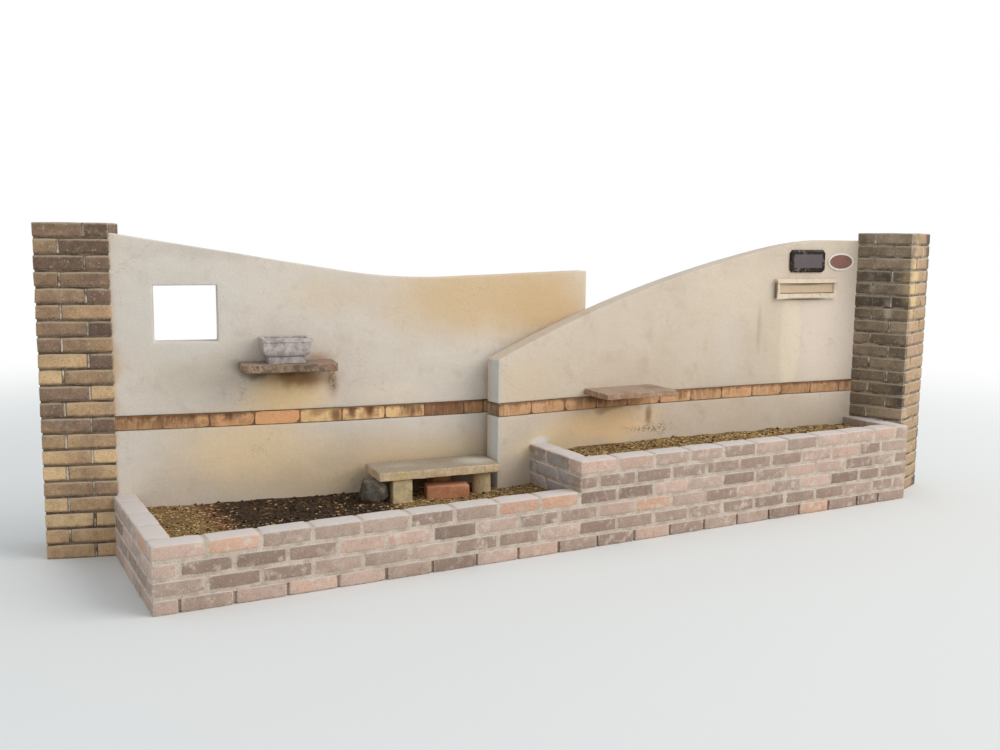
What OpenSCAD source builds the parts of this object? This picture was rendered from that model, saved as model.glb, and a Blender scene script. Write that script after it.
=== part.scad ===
// Front garden wall: a raised brick planter between two brick piers, in front of two rendered walls that are
// curved in plan, have swept tops and lap past each other with a narrow gap between them.
// Millimetres. Plan places are given from the planter's front left corner: X runs along the planter's front,
// Y runs away from the street and Z is up from the lowest ground. The finished part is then moved so that its
// origin is under the middle of its bounding box.

/* [Bricks] */
// Length of a brick
brick_l = 215; // [190:1:240]
// Width of a brick, which is also the thickness of the planter's walls
brick_w = 102.5; // [90:0.5:120]
// Height of a brick
brick_h = 65; // [50:1:80]
// Thickness of a mortar joint
joint = 10; // [6:1:14]

/* [Planter] */
// Length of the planter's front
planter_len = 4325; // [4260:5:4340]
// Courses in the lower part
lower_courses = 4; // [3:1:5]
// Courses in all of the upper part
upper_courses = 6; // [6:1:8]
// Place where the upper part starts, from the planter's left end
upper_start = 2025; // [1960:5:2100]
// Drop from the lower wall's top to the soil
lower_soil_drop = 65; // [30:1:90]
// Drop from the upper wall's top to the soil
upper_soil_drop = 40; // [20:1:80]

/* [Piers] */
// Courses in a pier
pier_courses = 21; // [20:1:26]
// Place of the left pier's front left corner along the planter
left_pier_x = -295; // [-330:1:-280]
// Place of the left pier's front left corner from the planter's front
left_pier_y = 992; // [970:1:1010]
// Turn of the left pier, clockwise seen from above
left_pier_turn = 16.2; // [10:0.1:20]
// Distance from the planter's right end to the right pier's nearest corner
right_pier_gap = 60; // [55:1:95]
// How far the right pier's back left corner stands behind the wall's street face
right_pier_lap = 3.4; // [0:0.1:20]
// Turn of the right pier, anticlockwise seen from above
right_pier_turn = 22; // [18:0.1:26]

/* [Rendered walls] */
// Thickness of both rendered walls
wall_t = 110; // [90:1:140]
// Height of the underside of the brick band
band_z = 599; // [560:1:640]
// Height of the brick band
band_h = 68; // [50:1:80]
// How far the band stands out of the render
band_proud = 4; // [1:1:12]
// How far the left wall is let into its pier
wall_bite = 60; // [30:1:120]
// Bed between curved pieces of masonry
bed = 0.2; // [0.1:0.1:2]

/* [Left wall] */
// Radius of the left wall's street face, which bulges towards the street
left_r = 12780; // [11000:10:16000]
// Place along the planter where the left wall's curve is nearest to the street
left_apex_x = 2797; // [2700:1:2900]
// Place of the left wall's free end along the planter
left_end_x = 2438; // [2300:1:2500]
// Gap between the left wall's end and the right wall's back, where they lap
lap_gap = 0.3; // [0.3:0.1:3]
// Height of the left wall's top where the planter starts
ramp_z = 1523; // [1480:1:1550]
// Fall of the ramp, in degrees
ramp_fall = 9.25; // [7:0.05:11]
// Height of the lowest point of the top
valley_z = 1310; // [1250:1:1360]
// Radius of the concave sweep at the lowest point
valley_r = 2950; // [2000:10:4000]
// Rise of the top beyond the sweep, in degrees
end_rise = 2.1; // [0:0.1:4]

/* [Window] */
// Left side of the window, along the planter
window_x = 202; // [180:1:230]
// Width of the window, along the planter
window_w = 284; // [220:1:330]
// Height of the window's underside
window_z = 1012; // [960:1:1060]
// Height of the window's opening
window_h = 266; // [200:1:290]

/* [Right wall] */
// Radius of the right wall's street face, which is hollow towards the street
right_r = 13500; // [12500:10:14500]
// Place along the planter where the right wall's curve is furthest from the street
right_apex_x = 2608; // [2550:1:2660]
// Distance of that place from the planter's front
right_apex_y = 507; // [490:1:530]
// Place of the right wall's free end along the planter
tip_x = 1826; // [1780:1:1880]
// Height of the top at the free end
tip_z = 895; // [850:1:940]
// Height of the level top at the right pier
right_top_z = 1518; // [1505:1:1540]
// Drop from there to the top above the mail slot's left side
shoulder_drop = 40; // [20:1:80]
// Radius of the domed sweep between that place and the free end
sweep_r = 9212; // [7000:10:12000]

/* [Shelves and trough] */
// Length of the stone slab on the left wall
left_shelf_l = 450; // [380:1:480]
// How far that slab stands out of the wall
left_shelf_out = 168; // [150:1:190]
// Thickness of that slab
left_shelf_t = 38; // [30:1:50]
// Height of its upper face
left_shelf_z = 911; // [880:1:950]
// Middle of that slab, along the planter
left_shelf_x = 800; // [770:1:820]
// Length of the stone slab on the right wall
right_shelf_l = 446; // [380:1:480]
// How far that slab stands out of the wall
right_shelf_out = 240; // [180:1:270]
// Thickness of that slab
right_shelf_t = 31; // [24:1:40]
// Height of its upper face
right_shelf_z = 711; // [705:1:760]
// Middle of that slab, along the planter
right_shelf_x = 2590; // [2560:1:2620]
// Turn of that slab against the wall, clockwise
right_shelf_turn = 2; // [0:0.1:4]
// Distance from that slab's right end to the place where two stretches of the right wall meet
right_shelf_clear = 154; // [60:1:300]
// How far each slab is let into its wall
shelf_bite = 55; // [30:1:80]
// Length of the stone trough's rim
trough_l = 236; // [200:1:260]
// Depth of the stone trough's rim, from front to back
trough_d = 148; // [120:1:152]
// Height of the stone trough with its foot
trough_h = 121; // [100:1:150]
// Height of the trough's rim
trough_rim_h = 17; // [10:1:24]
// How far the rim overhangs the trough's body
trough_rim_out = 6; // [2:1:10]
// Height of the trough's foot
trough_foot_h = 36; // [20:1:50]
// Height of the neck above the foot
trough_neck_h = 5; // [3:1:10]
// How far the neck stands back from the foot
trough_neck_in = 6; // [2:1:12]
// Radius of the body's lower edges, which end above the foot's edges
trough_round = 26; // [15:1:40]
// Thickness of the trough's walls
trough_wall = 14; // [10:1:18]
// Distance from the trough's rim to the wall
trough_gap = 4; // [2:1:15]
// Distance from the middle of the slab to the middle of the trough, to the left
trough_left = 12; // [0:1:60]

/* [Bench] */
// Length of the concrete slab
bench_l = 637; // [600:1:660]
// Depth of the concrete slab
bench_d = 245; // [230:1:260]
// Thickness of the concrete slab
bench_t = 42; // [36:1:50]
// Height of the blocks under the slab
bench_leg_h = 113; // [80:1:140]
// Distance from the slab's back right corner to the right wall's free end
bench_end_gap = 19; // [10:1:60]
// Distance from the middle of the slab's back edge to the left wall
bench_back_gap = 27; // [20:1:60]
// Turn of the slab, clockwise seen from above
bench_turn = 5; // [3:0.1:7]
// Width of the square block under the front left
square_block_w = 100; // [80:1:110]
// Distance from the slab's left end to that block
square_block_in = 70; // [65:1:90]
// Distance from the slab's front edge to that block and to the rear block from the back edge
block_inset = 8; // [0:1:20]
// Radius of the round block under the front right, at its foot
round_block_r = 50; // [40:1:55]
// How much narrower the round block's top is
round_block_taper = 4; // [0:1:10]
// Distance from the slab's right end to the round block
round_block_in = 22; // [5:1:60]
// Distance from the slab's front edge to the round block
round_block_back = 30; // [10:1:60]
// Radius of the rough stone under the left end
rough_stone_r = 60; // [45:1:62]
// Distance from the slab's left end to the middle of the rough stone, outwards
rough_stone_out = 5; // [0:1:10]
// Distance from the slab's front edge to the middle of the rough stone
rough_stone_back = 78; // [70:1:120]
// Distance from the slab's middle to the left end of the loose brick
loose_brick_left = 71; // [40:1:90]
// Distance from the slab's front edge to that end of the loose brick
loose_brick_back = 14; // [5:1:40]
// Turn of the loose brick against the slab
loose_brick_turn = 11; // [0:1:20]

/* [Mail slot] */
// Distance from the right pier's nearest corner to the middle of the mail slot
slot_from_pier = 500; // [480:1:540]
// Drop from the wall's level top to the middle of the mail slot
slot_drop = 288; // [270:1:320]
// Width of its frame
frame_w = 448; // [420:1:460]
// Height of its frame
frame_h = 118; // [110:1:130]
// How far the frame stands out of the wall
frame_d = 20; // [16:1:26]
// Height of the hood along the frame's top
hood_h = 24; // [20:1:30]
// How far the hood stands out in front of the frame
hood_out = 8; // [4:1:14]
// Height of the frame's lower rail
sill_h = 32; // [26:1:38]
// Width of the frame's side pieces
stile_w = 24; // [20:1:30]
// Thickness of the flap
flap_t = 3; // [2:0.5:4]
// Gap between the flap and the frame
flap_gap = 5; // [4:0.5:8]
// Radius of the rod that the flap hangs on
rod_r = 4; // [3:0.1:5]
// Running clearance round the rod
rod_play = 0.3; // [0.2:0.05:0.6]
// Drop from the hood's underside to the rod's middle
rod_drop = 8; // [8:0.5:12]
// Depth of the blind hole for each end of the rod
rod_socket = 8; // [4:1:14]
// Play of the rod along its length, at each end
rod_end_play = 1; // [0.5:0.5:2]
// Thickness of the sleeve's sheet
sleeve_t = 2; // [1.5:0.5:3]
// Inside height of the sleeve through the wall
sleeve_h = 84; // [80:1:90]
// Inside width of the sleeve through the wall
sleeve_w = 404; // [400:1:410]
// Clearance of the sleeve in the wall
sleeve_play = 0.3; // [0.1:0.1:2]

/* [Plates] */
// Distance from the right pier's nearest corner to the middle of the name plate
name_from_pier = 496; // [490:1:520]
// Drop from the wall's level top to the middle of the name plate
name_drop = 124; // [110:1:140]
// Width of the name plate
name_w = 260; // [220:1:280]
// Height of the name plate
name_h = 134; // [100:1:150]
// Thickness of the name plate
name_t = 14; // [8:1:20]
// Width of the name plate's bevelled edge
name_bevel = 9; // [4:1:12]
// Length of the cut across each of its corners, along the sides
name_cut = 18; // [4:1:30]
// Distance from the right pier's nearest corner to the middle of the oval plate
oval_from_pier = 247; // [240:1:260]
// Drop from the wall's level top to the middle of the oval plate
oval_drop = 128; // [110:1:150]
// Width of the oval plate
oval_w = 190; // [150:1:200]
// Height of the oval plate
oval_h = 105; // [80:1:120]
// Width of the oval plate's rim
oval_rim_w = 11; // [6:1:16]
// Thickness of the oval plate's rim
oval_t = 7; // [4:1:10]

/* [Hidden] */

round_fn = 96;
wall_fn = 7200;
sweep_fn = 3600;

brick_colour = [0.66, 0.45, 0.38];
pier_colour = [0.47, 0.38, 0.31];
render_colour = [0.78, 0.70, 0.58];
band_colour = [0.60, 0.42, 0.30];
stone_colour = [0.60, 0.57, 0.54];
soil_colour = [0.30, 0.23, 0.16];
metal_colour = [0.80, 0.73, 0.64];

course = brick_h + joint;
function courses_top(n) = n * course - joint;
lower_top = courses_top(lower_courses);
upper_top = courses_top(upper_courses);
pier_top = courses_top(pier_courses);
pier_side = brick_l + joint + brick_w;
lower_soil = lower_top - lower_soil_drop;
upper_soil = upper_top - upper_soil_drop;
band_top = band_z + band_h;

// Centre lines of the two curved walls
right_c = [right_apex_x, right_apex_y - right_r];
right_back_r = right_r + wall_t;
function right_face_y(x) = right_c[1] + sqrt(pow(right_r, 2) - pow(x - right_c[0], 2));
function right_back_y(x) = right_c[1] + sqrt(pow(right_back_r, 2) - pow(x - right_c[0], 2));
function right_turn(x) = asin((x - right_c[0]) / right_r);
left_lap_y = right_back_y(left_end_x) + lap_gap;
left_c = [left_apex_x, left_lap_y + sqrt(pow(left_r, 2) - pow(left_end_x - left_apex_x, 2))];
function left_face_y(x) = left_c[1] - sqrt(pow(left_r, 2) - pow(x - left_c[0], 2));
function left_turn(x) = asin((x - left_c[0]) / left_r);

// Nearest corner of the right pier, set by the planter's end and the right wall's face
right_pier_x = planter_len + right_pier_gap;
right_pier_y = right_face_y(right_pier_x - pier_side * sin(right_pier_turn)) + right_pier_lap
    - pier_side * cos(right_pier_turn);

// Each wall ends inside a chase in its pier
left_root_x = left_pier_x + pier_side * cos(left_pier_turn) - wall_bite;
right_root_x = right_pier_x + brick_w + joint;

// Bounding box in plan, from the piers' outer corners and the planter's front
part_x0 = left_pier_x;
part_x1 = right_pier_x + pier_side * cos(right_pier_turn);
part_y1 = left_pier_y + pier_side * cos(left_pier_turn);
centre = [(part_x0 + part_x1) / 2, part_y1 / 2];

// The left wall's top: a straight ramp, a concave sweep and a straight rise, each tangent to the next
ramp_end_x = (ramp_z - valley_z - valley_r * (1 - cos(ramp_fall))) / tan(ramp_fall);
valley_x = ramp_end_x + valley_r * sin(ramp_fall);
rise_start_x = valley_x + valley_r * sin(end_rise);
rise_start_z = valley_z + valley_r * (1 - cos(end_rise));
function ramp_height(x) = ramp_z - x * tan(ramp_fall);
function rise_height(x) = rise_start_z + (x - rise_start_x) * tan(end_rise);

// The right wall's top: a domed sweep, a shoulder that eases it level, and a level end
slot_x = right_pier_x - slot_from_pier;
slot_z = right_top_z - slot_drop;
slot_half = sleeve_w / 2 + sleeve_t + sleeve_play;
slot_side_l = slot_x - slot_half;
slot_side_r = slot_x + slot_half;
slot_bottom = slot_z - sleeve_h / 2 - sleeve_t - sleeve_play;
slot_top = slot_z + sleeve_h / 2 + sleeve_t + sleeve_play;
tip = [tip_x, tip_z];
sweep_high = [slot_side_l, right_top_z - shoulder_drop];
function below_centre(a, b, r) = (a + b) / 2
    + [b[1] - a[1], a[0] - b[0]] / norm(b - a) * sqrt(pow(r, 2) - pow(norm(b - a) / 2, 2));
sweep_c = below_centre(tip, sweep_high, sweep_r);
shoulder_run = slot_side_r - slot_side_l;
shoulder_r = (pow(shoulder_run, 2) + pow(shoulder_drop, 2)) / (2 * shoulder_drop);

// Where the long walls are divided
left_middle_x = ramp_end_x;
right_middle_x = right_shelf_x + right_shelf_l / 2 + right_shelf_clear;

// Space below, above and in front of the walls that the cutting shapes reach over
reach = 4 * pier_side;
sky = pier_top + pier_side;

// Trough without its rim
trough_body_l = trough_l - 2 * trough_rim_out;
trough_body_d = trough_d - 2 * trough_rim_out;
trough_foot_l = trough_body_l - 2 * trough_round;
trough_foot_d = trough_body_d - 2 * trough_round;

// Middle of the bench
bench_x = tip_x - bench_end_gap - bench_l / 2 * cos(bench_turn) - bench_d / 2 * sin(bench_turn);
bench_y = left_face_y(bench_x) - bench_back_gap - bench_d / 2;
bench_z = lower_soil + bench_leg_h;

// The mail slot's own plane: x along the wall, y into the wall, z up
function sag(w) = right_r - sqrt(pow(right_r, 2) - pow(w / 2, 2));
frame_sag = sag(frame_w);
mouth_w = frame_w - 2 * stile_w;
mouth_z0 = -frame_h / 2 + sill_h;
mouth_z1 = frame_h / 2 - hood_h;
rod_z = mouth_z1 - rod_drop;
rod_y = -frame_d / 2;

module place() translate([-centre[0], -centre[1], 0]) children();

module on_street(x, r = right_r) translate([x, right_face_y(x), 0]) rotate([0, 0, -right_turn(x)]) children();

// Ring piece of the left wall between two places along its street face
module left_ring(x0, x1, z0, z1, proud = 0, behind = wall_t) {
    translate([left_c[0], left_c[1], 0])
        rotate([0, 0, left_turn(x0) - 90])
            rotate_extrude(angle = left_turn(x1) - left_turn(x0), $fn = wall_fn)
                translate([left_r - behind, z0])
                    square([behind + proud, z1 - z0]);
}

// Ring piece of the right wall between two places along its street face
module right_ring(x0, x1, z0, z1, proud = 0, behind = wall_t) {
    translate([right_c[0], right_c[1], 0])
        rotate([0, 0, 90 - right_turn(x1)])
            rotate_extrude(angle = right_turn(x1) - right_turn(x0), $fn = wall_fn)
                translate([right_r - proud, z0])
                    square([behind + proud, z1 - z0]);
}

// One stretch of each wall, with half a bed at its ends and a bed under it unless it stands on the ground
function bedded(z) = z > 0 ? z + bed : z;
module left_stretch(x0, x1, z0, z1, proud = 0) left_ring(x0 + bed / 2, x1 - bed / 2, bedded(z0), z1, proud);
module right_stretch(x0, x1, z0, z1, proud = 0) right_ring(x0 + bed / 2, x1 - bed / 2, bedded(z0), z1, proud);

// Stands an outline drawn in x and z up across both walls
module elevation() translate([0, reach, 0]) rotate([90, 0, 0]) linear_extrude(2 * reach) children();

module below_ramp(up = 0) elevation() polygon([[-reach, -reach], [sky, -reach],
    [sky, ramp_height(sky) + up], [-reach, ramp_height(-reach) + up]]);

module below_rise() elevation() polygon([[rise_start_x - reach, -reach], [rise_start_x + reach, -reach],
    [rise_start_x + reach, rise_height(rise_start_x + reach)],
    [rise_start_x - reach, rise_height(rise_start_x - reach)]]);

// Disc under the domed sweep, with one corner of its outline above the place x
module below_sweep(x) elevation() translate(sweep_c)
    rotate(acos((x - sweep_c[0]) / sweep_r)) circle(sweep_r, $fn = sweep_fn);

module pier_block(x, y, turn, play) {
    translate([x, y, 0]) rotate([0, 0, turn]) translate([-play, -play, -play])
        cube([pier_side + 2 * play, pier_side + 2 * play, pier_top + 2 * play]);
}

module left_pier_block(play = 0) pier_block(left_pier_x, left_pier_y, -left_pier_turn, play);

module right_pier_block(play = 0) pier_block(right_pier_x, right_pier_y, right_pier_turn, play);

// Chase in the left pier for the wall and its band
module left_chase() {
    intersection() {
        left_ring(left_root_x - bed, window_x, -joint, sky, bed, wall_t + bed);
        below_ramp(bed);
    }
    left_ring(left_root_x - bed, window_x, band_z - bed, band_top + bed, band_proud + bed);
}

// Chase in the right pier for the wall and its band
module right_chase() {
    right_ring(slot_side_r, right_root_x + bed, -joint, right_top_z + bed, bed, wall_t + bed);
    right_ring(slot_side_r, right_root_x + bed, band_z - bed, band_top + bed, band_proud + bed);
}

module left_pier() color(pier_colour) place() difference() {
    left_pier_block();
    left_chase();
}

module right_pier() color(pier_colour) place() difference() {
    right_pier_block();
    right_chase();
}

module left_wall_base_west() color(render_colour) place() left_stretch(left_root_x, left_middle_x, 0, band_z);

module left_wall_base_east() color(render_colour) place() left_stretch(left_middle_x, left_end_x, 0, band_z);

module left_wall_band_west() color(band_colour) place()
    left_stretch(left_root_x, tip_x, band_z, band_top, band_proud);

// Behind the right wall the band is flush, so that the two walls can lap
module left_wall_band_east() color(band_colour) place()
    left_stretch(tip_x, left_end_x, band_z, band_top);

module left_wall_jamb() color(render_colour) place() intersection() {
    left_stretch(left_root_x, window_x, band_top, sky);
    below_ramp();
}

module left_wall_under_window() color(render_colour) place()
    left_stretch(window_x, window_x + window_w, band_top, window_z);

module left_wall_over_window() color(render_colour) place() intersection() {
    left_stretch(window_x, window_x + window_w, window_z + window_h, sky);
    below_ramp();
}

module left_wall_ramp() color(render_colour) place() difference() {
    intersection() {
        left_stretch(window_x + window_w, ramp_end_x, band_top, sky);
        below_ramp();
    }
    left_shelf_slab();
}

module left_wall_valley() color(render_colour) place() difference() {
    left_stretch(ramp_end_x, rise_start_x, band_top, ramp_height(ramp_end_x) + band_h);
    elevation() translate([valley_x, valley_z + valley_r]) circle(valley_r, $fn = sweep_fn);
}

module left_wall_end() color(render_colour) place() intersection() {
    left_stretch(rise_start_x, left_end_x, band_top, sky);
    below_rise();
}

module right_wall_base_west() color(render_colour) place() right_stretch(tip_x, right_middle_x, 0, band_z);

module right_wall_base_east() color(render_colour) place()
    right_stretch(right_middle_x, right_root_x, 0, band_z);

module right_wall_band_west() color(band_colour) place()
    right_stretch(tip_x, right_middle_x, band_z, band_top, band_proud);

module right_wall_band_east() color(band_colour) place()
    right_stretch(right_middle_x, right_root_x, band_z, band_top, band_proud);

module right_wall_sweep_low() color(render_colour) place() difference() {
    intersection() {
        right_stretch(tip_x, right_middle_x, band_top, sky);
        below_sweep(right_middle_x);
    }
    right_shelf_slab();
}

module right_wall_sweep_high() color(render_colour) place() intersection() {
    right_stretch(right_middle_x, slot_side_l, band_top, sky);
    below_sweep(slot_side_l);
}

module right_wall_under_slot() color(render_colour) place()
    right_stretch(slot_side_l, slot_side_r, band_top, slot_bottom);

module right_wall_over_slot() color(render_colour) place() intersection() {
    right_stretch(slot_side_l, slot_side_r, slot_top, sky);
    elevation() translate([slot_side_r, right_top_z - shoulder_r]) circle(shoulder_r, $fn = sweep_fn);
}

module right_wall_pier_end() color(render_colour) place()
    right_stretch(slot_side_r, right_root_x, band_top, right_top_z);

module lower_planter_front() color(brick_colour) place() cube([planter_len, brick_w, lower_top]);

module lower_planter_left_return() color(brick_colour) place() difference() {
    translate([0, brick_w, 0]) cube([brick_w, left_face_y(0) - brick_w, lower_top]);
    left_ring(-joint, brick_w + joint, -joint, band_z, bed);
    left_pier_block(bed);
}

module upper_planter_front() color(brick_colour) place()
    translate([upper_start, 0, lower_top]) cube([planter_len - upper_start, brick_w, upper_top - lower_top]);

module upper_planter_left_return() color(brick_colour) place() difference() {
    translate([upper_start, brick_w, 0])
        cube([brick_w, right_face_y(upper_start + brick_w) - brick_w, upper_top]);
    right_ring(upper_start - joint, upper_start + brick_w + joint, -joint, band_z, bed);
}

module upper_planter_right_return() color(brick_colour) place() difference() {
    translate([planter_len - brick_w, brick_w, 0])
        cube([brick_w, right_face_y(planter_len - brick_w) - brick_w, upper_top]);
    right_ring(planter_len - brick_w - joint, planter_len + joint, -joint, band_z, bed);
    right_pier_block(bed);
}

module lower_bed_soil() color(soil_colour) place() difference() {
    translate([brick_w, brick_w, 0])
        cube([upper_start - brick_w, left_face_y(brick_w) - brick_w, lower_soil]);
    left_ring(brick_w - joint, left_end_x, -joint, band_z, bed, reach);
    right_ring(tip_x - bed, upper_start + joint, -joint, band_z, bed, reach);
}

module upper_bed_soil() color(soil_colour) place() intersection() {
    translate([upper_start + brick_w, brick_w, 0])
        cube([planter_len - upper_start - 2 * brick_w, right_apex_y, upper_soil]);
    translate([right_c[0], right_c[1], -joint]) cylinder(h = band_z, r = right_r - bed, $fn = wall_fn);
}

module left_shelf_slab() translate([left_shelf_x, left_face_y(left_shelf_x), left_shelf_z - left_shelf_t])
    rotate([0, 0, left_turn(left_shelf_x)])
        translate([-left_shelf_l / 2, -left_shelf_out, 0])
            cube([left_shelf_l, left_shelf_out + shelf_bite, left_shelf_t]);

module left_shelf() color(stone_colour) place() left_shelf_slab();

module right_shelf_slab() on_street(right_shelf_x)
    rotate([0, 0, -right_shelf_turn])
        translate([-right_shelf_l / 2, -right_shelf_out, right_shelf_z - right_shelf_t])
            cube([right_shelf_l, right_shelf_out + shelf_bite, right_shelf_t]);

module right_shelf() color(stone_colour) place() right_shelf_slab();

// Upright outline of the trough's body, with round lower edges
module trough_outline(l, h) {
    translate([-l / 2, trough_round]) square([l, h - trough_round]);
    translate([-l / 2 + trough_round, 0]) square([l - 2 * trough_round, h]);
    for (side = [-1, 1]) translate([side * (l / 2 - trough_round), trough_round])
        circle(trough_round, $fn = round_fn);
}

module trough_slab(l, d, z0, z1) translate([-l / 2, -d / 2, z0]) cube([l, d, z1 - z0]);

module stone_trough() color(stone_colour) place()
    translate([left_shelf_x, left_face_y(left_shelf_x), left_shelf_z]) rotate([0, 0, left_turn(left_shelf_x)])
        translate([-trough_left, -trough_gap - trough_d / 2, 0]) {
            body_h = trough_h - trough_foot_h;
            neck_z = trough_foot_h - trough_neck_h;
            hollow_l = trough_body_l - 2 * trough_wall;
            hollow_d = trough_body_d - 2 * trough_wall;
            difference() {
                union() {
                    trough_slab(trough_foot_l, trough_foot_d, 0, neck_z);
                    trough_slab(trough_foot_l - 2 * trough_neck_in, trough_foot_d - 2 * trough_neck_in, 0,
                        trough_foot_h + trough_neck_h);
                    translate([0, 0, trough_foot_h]) intersection() {
                        translate([0, trough_body_d / 2, 0]) rotate([90, 0, 0])
                            linear_extrude(trough_body_d) trough_outline(trough_body_l, body_h);
                        translate([-trough_body_l / 2, 0, 0]) rotate([90, 0, 90])
                            linear_extrude(trough_body_l) trough_outline(trough_body_d, body_h);
                    }
                    trough_slab(trough_l, trough_d, trough_h - trough_rim_h, trough_h);
                }
                trough_slab(hollow_l, hollow_d, trough_foot_h + trough_wall, trough_h + trough_rim_h);
            }
        }

module at_bench(x, y, z) translate([bench_x, bench_y, z]) rotate([0, 0, -bench_turn])
    translate([x, y, 0]) children();

module bench_slab() color(stone_colour) place() at_bench(-bench_l / 2, -bench_d / 2, bench_z)
    cube([bench_l, bench_d, bench_t]);

module bench_square_block() color(stone_colour) place()
    at_bench(-bench_l / 2 + square_block_in, -bench_d / 2 + block_inset, lower_soil)
        cube([square_block_w, square_block_w, bench_leg_h]);

module bench_round_block() color(stone_colour) place()
    at_bench(bench_l / 2 - round_block_in - round_block_r, -bench_d / 2 + round_block_back + round_block_r,
        lower_soil)
            cylinder(h = bench_leg_h, r1 = round_block_r, r2 = round_block_r - round_block_taper,
                $fn = round_fn);

module bench_rear_block() color(brick_colour) place()
    at_bench(0, bench_d / 2 - brick_w - block_inset, lower_soil) cube([brick_w, brick_w, bench_leg_h]);

// The rough stone bulges at a third of its height and draws in towards its top
module bench_rough_stone() color(stone_colour) place()
    at_bench(-bench_l / 2 - rough_stone_out, -bench_d / 2 + rough_stone_back, lower_soil)
        rotate_extrude($fn = round_fn)
            polygon([[0, 0], [0.87 * rough_stone_r, 0], [rough_stone_r, 0.3 * bench_leg_h],
                [0.87 * rough_stone_r, 0.75 * bench_leg_h], [0.63 * rough_stone_r, bench_leg_h],
                [0, bench_leg_h]]);

module loose_brick() color(brick_colour) place()
    at_bench(-loose_brick_left, -bench_d / 2 + loose_brick_back, lower_soil)
        rotate([0, 0, -loose_brick_turn]) cube([brick_l, brick_w, brick_h]);

module mail_slot_frame() color(metal_colour) place() on_street(slot_x) translate([0, -frame_sag, slot_z])
    difference() {
        union() {
            translate([-frame_w / 2, -frame_d, -frame_h / 2]) cube([frame_w, frame_d, frame_h]);
            translate([-frame_w / 2, -frame_d - hood_out, frame_h / 2 - hood_h])
                cube([frame_w, frame_d + hood_out, hood_h]);
        }
        translate([-mouth_w / 2, -2 * frame_d, mouth_z0]) cube([mouth_w, 3 * frame_d, mouth_z1 - mouth_z0]);
        translate([-mouth_w / 2 - rod_socket, rod_y, rod_z]) rotate([0, 90, 0])
            cylinder(h = mouth_w + 2 * rod_socket, r = rod_r + rod_play, $fn = round_fn);
    }

module mail_slot_sleeve() color(metal_colour) place() on_street(slot_x) translate([0, -frame_sag, slot_z])
    difference() {
        translate([-sleeve_w / 2 - sleeve_t, 0, -sleeve_h / 2 - sleeve_t])
            cube([sleeve_w + 2 * sleeve_t, wall_t + frame_sag, sleeve_h + 2 * sleeve_t]);
        translate([-sleeve_w / 2, -wall_t, -sleeve_h / 2]) cube([sleeve_w, 3 * wall_t, sleeve_h]);
    }

module mail_slot_flap() color(metal_colour) place() on_street(slot_x) translate([0, -frame_sag, slot_z])
    union() {
        translate([-mouth_w / 2 + flap_gap, rod_y - flap_t / 2, mouth_z0 + flap_gap])
            cube([mouth_w - 2 * flap_gap, flap_t, rod_z - mouth_z0 - flap_gap]);
        translate([-mouth_w / 2 - rod_socket + rod_end_play, rod_y, rod_z]) rotate([0, 90, 0])
            cylinder(h = mouth_w + 2 * rod_socket - 2 * rod_end_play, r = rod_r, $fn = round_fn);
    }

module name_outline() polygon([for (q = [[1, 1], [-1, 1], [-1, -1], [1, -1]], e = [0, 1])
    let (cut = (q[0] * q[1] > 0) == (e == 0) ? [0, name_cut] : [name_cut, 0])
        [q[0] * (name_w / 2 - cut[0]), q[1] * (name_h / 2 - cut[1])]]);

module name_plate() color([0.20, 0.17, 0.24]) place() on_street(right_pier_x - name_from_pier)
    translate([0, -sag(name_w), right_top_z - name_drop]) rotate([90, 0, 0]) {
        edge_t = name_t / 2;
        linear_extrude(edge_t) name_outline();
        translate([0, 0, edge_t]) linear_extrude(name_t - edge_t,
            scale = [1 - 2 * name_bevel / name_w, 1 - 2 * name_bevel / name_h]) name_outline();
    }

function oval_points(w, h) = [for (i = [0:71]) [w / 2 * cos(5 * i), h / 2 * sin(5 * i)]];

module at_oval() on_street(right_pier_x - oval_from_pier)
    translate([0, -sag(oval_w), right_top_z - oval_drop]) rotate([90, 0, 0]) children();

module oval_plate() color([0.55, 0.27, 0.20]) place() at_oval()
    linear_extrude(oval_t * 0.7) polygon(oval_points(oval_w - 2 * oval_rim_w, oval_h - 2 * oval_rim_w));

module oval_plate_rim() color([0.92, 0.90, 0.86]) place() at_oval() linear_extrude(oval_t) difference() {
    polygon(oval_points(oval_w, oval_h));
    polygon(oval_points(oval_w - 2 * oval_rim_w, oval_h - 2 * oval_rim_w));
}

left_pier();
right_pier();
left_wall_base_west();
left_wall_base_east();
left_wall_band_west();
left_wall_band_east();
left_wall_jamb();
left_wall_under_window();
left_wall_over_window();
left_wall_ramp();
left_wall_valley();
left_wall_end();
right_wall_base_west();
right_wall_base_east();
right_wall_band_west();
right_wall_band_east();
right_wall_sweep_low();
right_wall_sweep_high();
right_wall_under_slot();
right_wall_over_slot();
right_wall_pier_end();
lower_planter_front();
lower_planter_left_return();
upper_planter_front();
upper_planter_left_return();
upper_planter_right_return();
lower_bed_soil();
upper_bed_soil();
left_shelf();
right_shelf();
stone_trough();
bench_slab();
bench_square_block();
bench_round_block();
bench_rear_block();
bench_rough_stone();
loose_brick();
mail_slot_frame();
mail_slot_sleeve();
mail_slot_flap();
name_plate();
oval_plate();
oval_plate_rim();
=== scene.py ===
"""The looks of the brick garden wall: masonry, render, stone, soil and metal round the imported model.

Sizes are in millimetres and places are in the wall's own plan: X runs along the planter's front from
its left end, Y runs away from the street and Z runs up. A finished mesh is moved from there into the
row's frame, in metres, so every object sits at the origin with its place in its mesh.
"""

import logging
import math
import random
from collections.abc import Callable, Iterator, Sequence
from dataclasses import dataclass, field
from enum import Enum
from functools import cache, cached_property
from itertools import product

import bmesh
import bpy
from bmesh.types import BMesh, BMFace, BMVert
from bpy.types import Material, Node, NodeSocket, NodeTree
from mathutils import Matrix, Vector, noise


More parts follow.
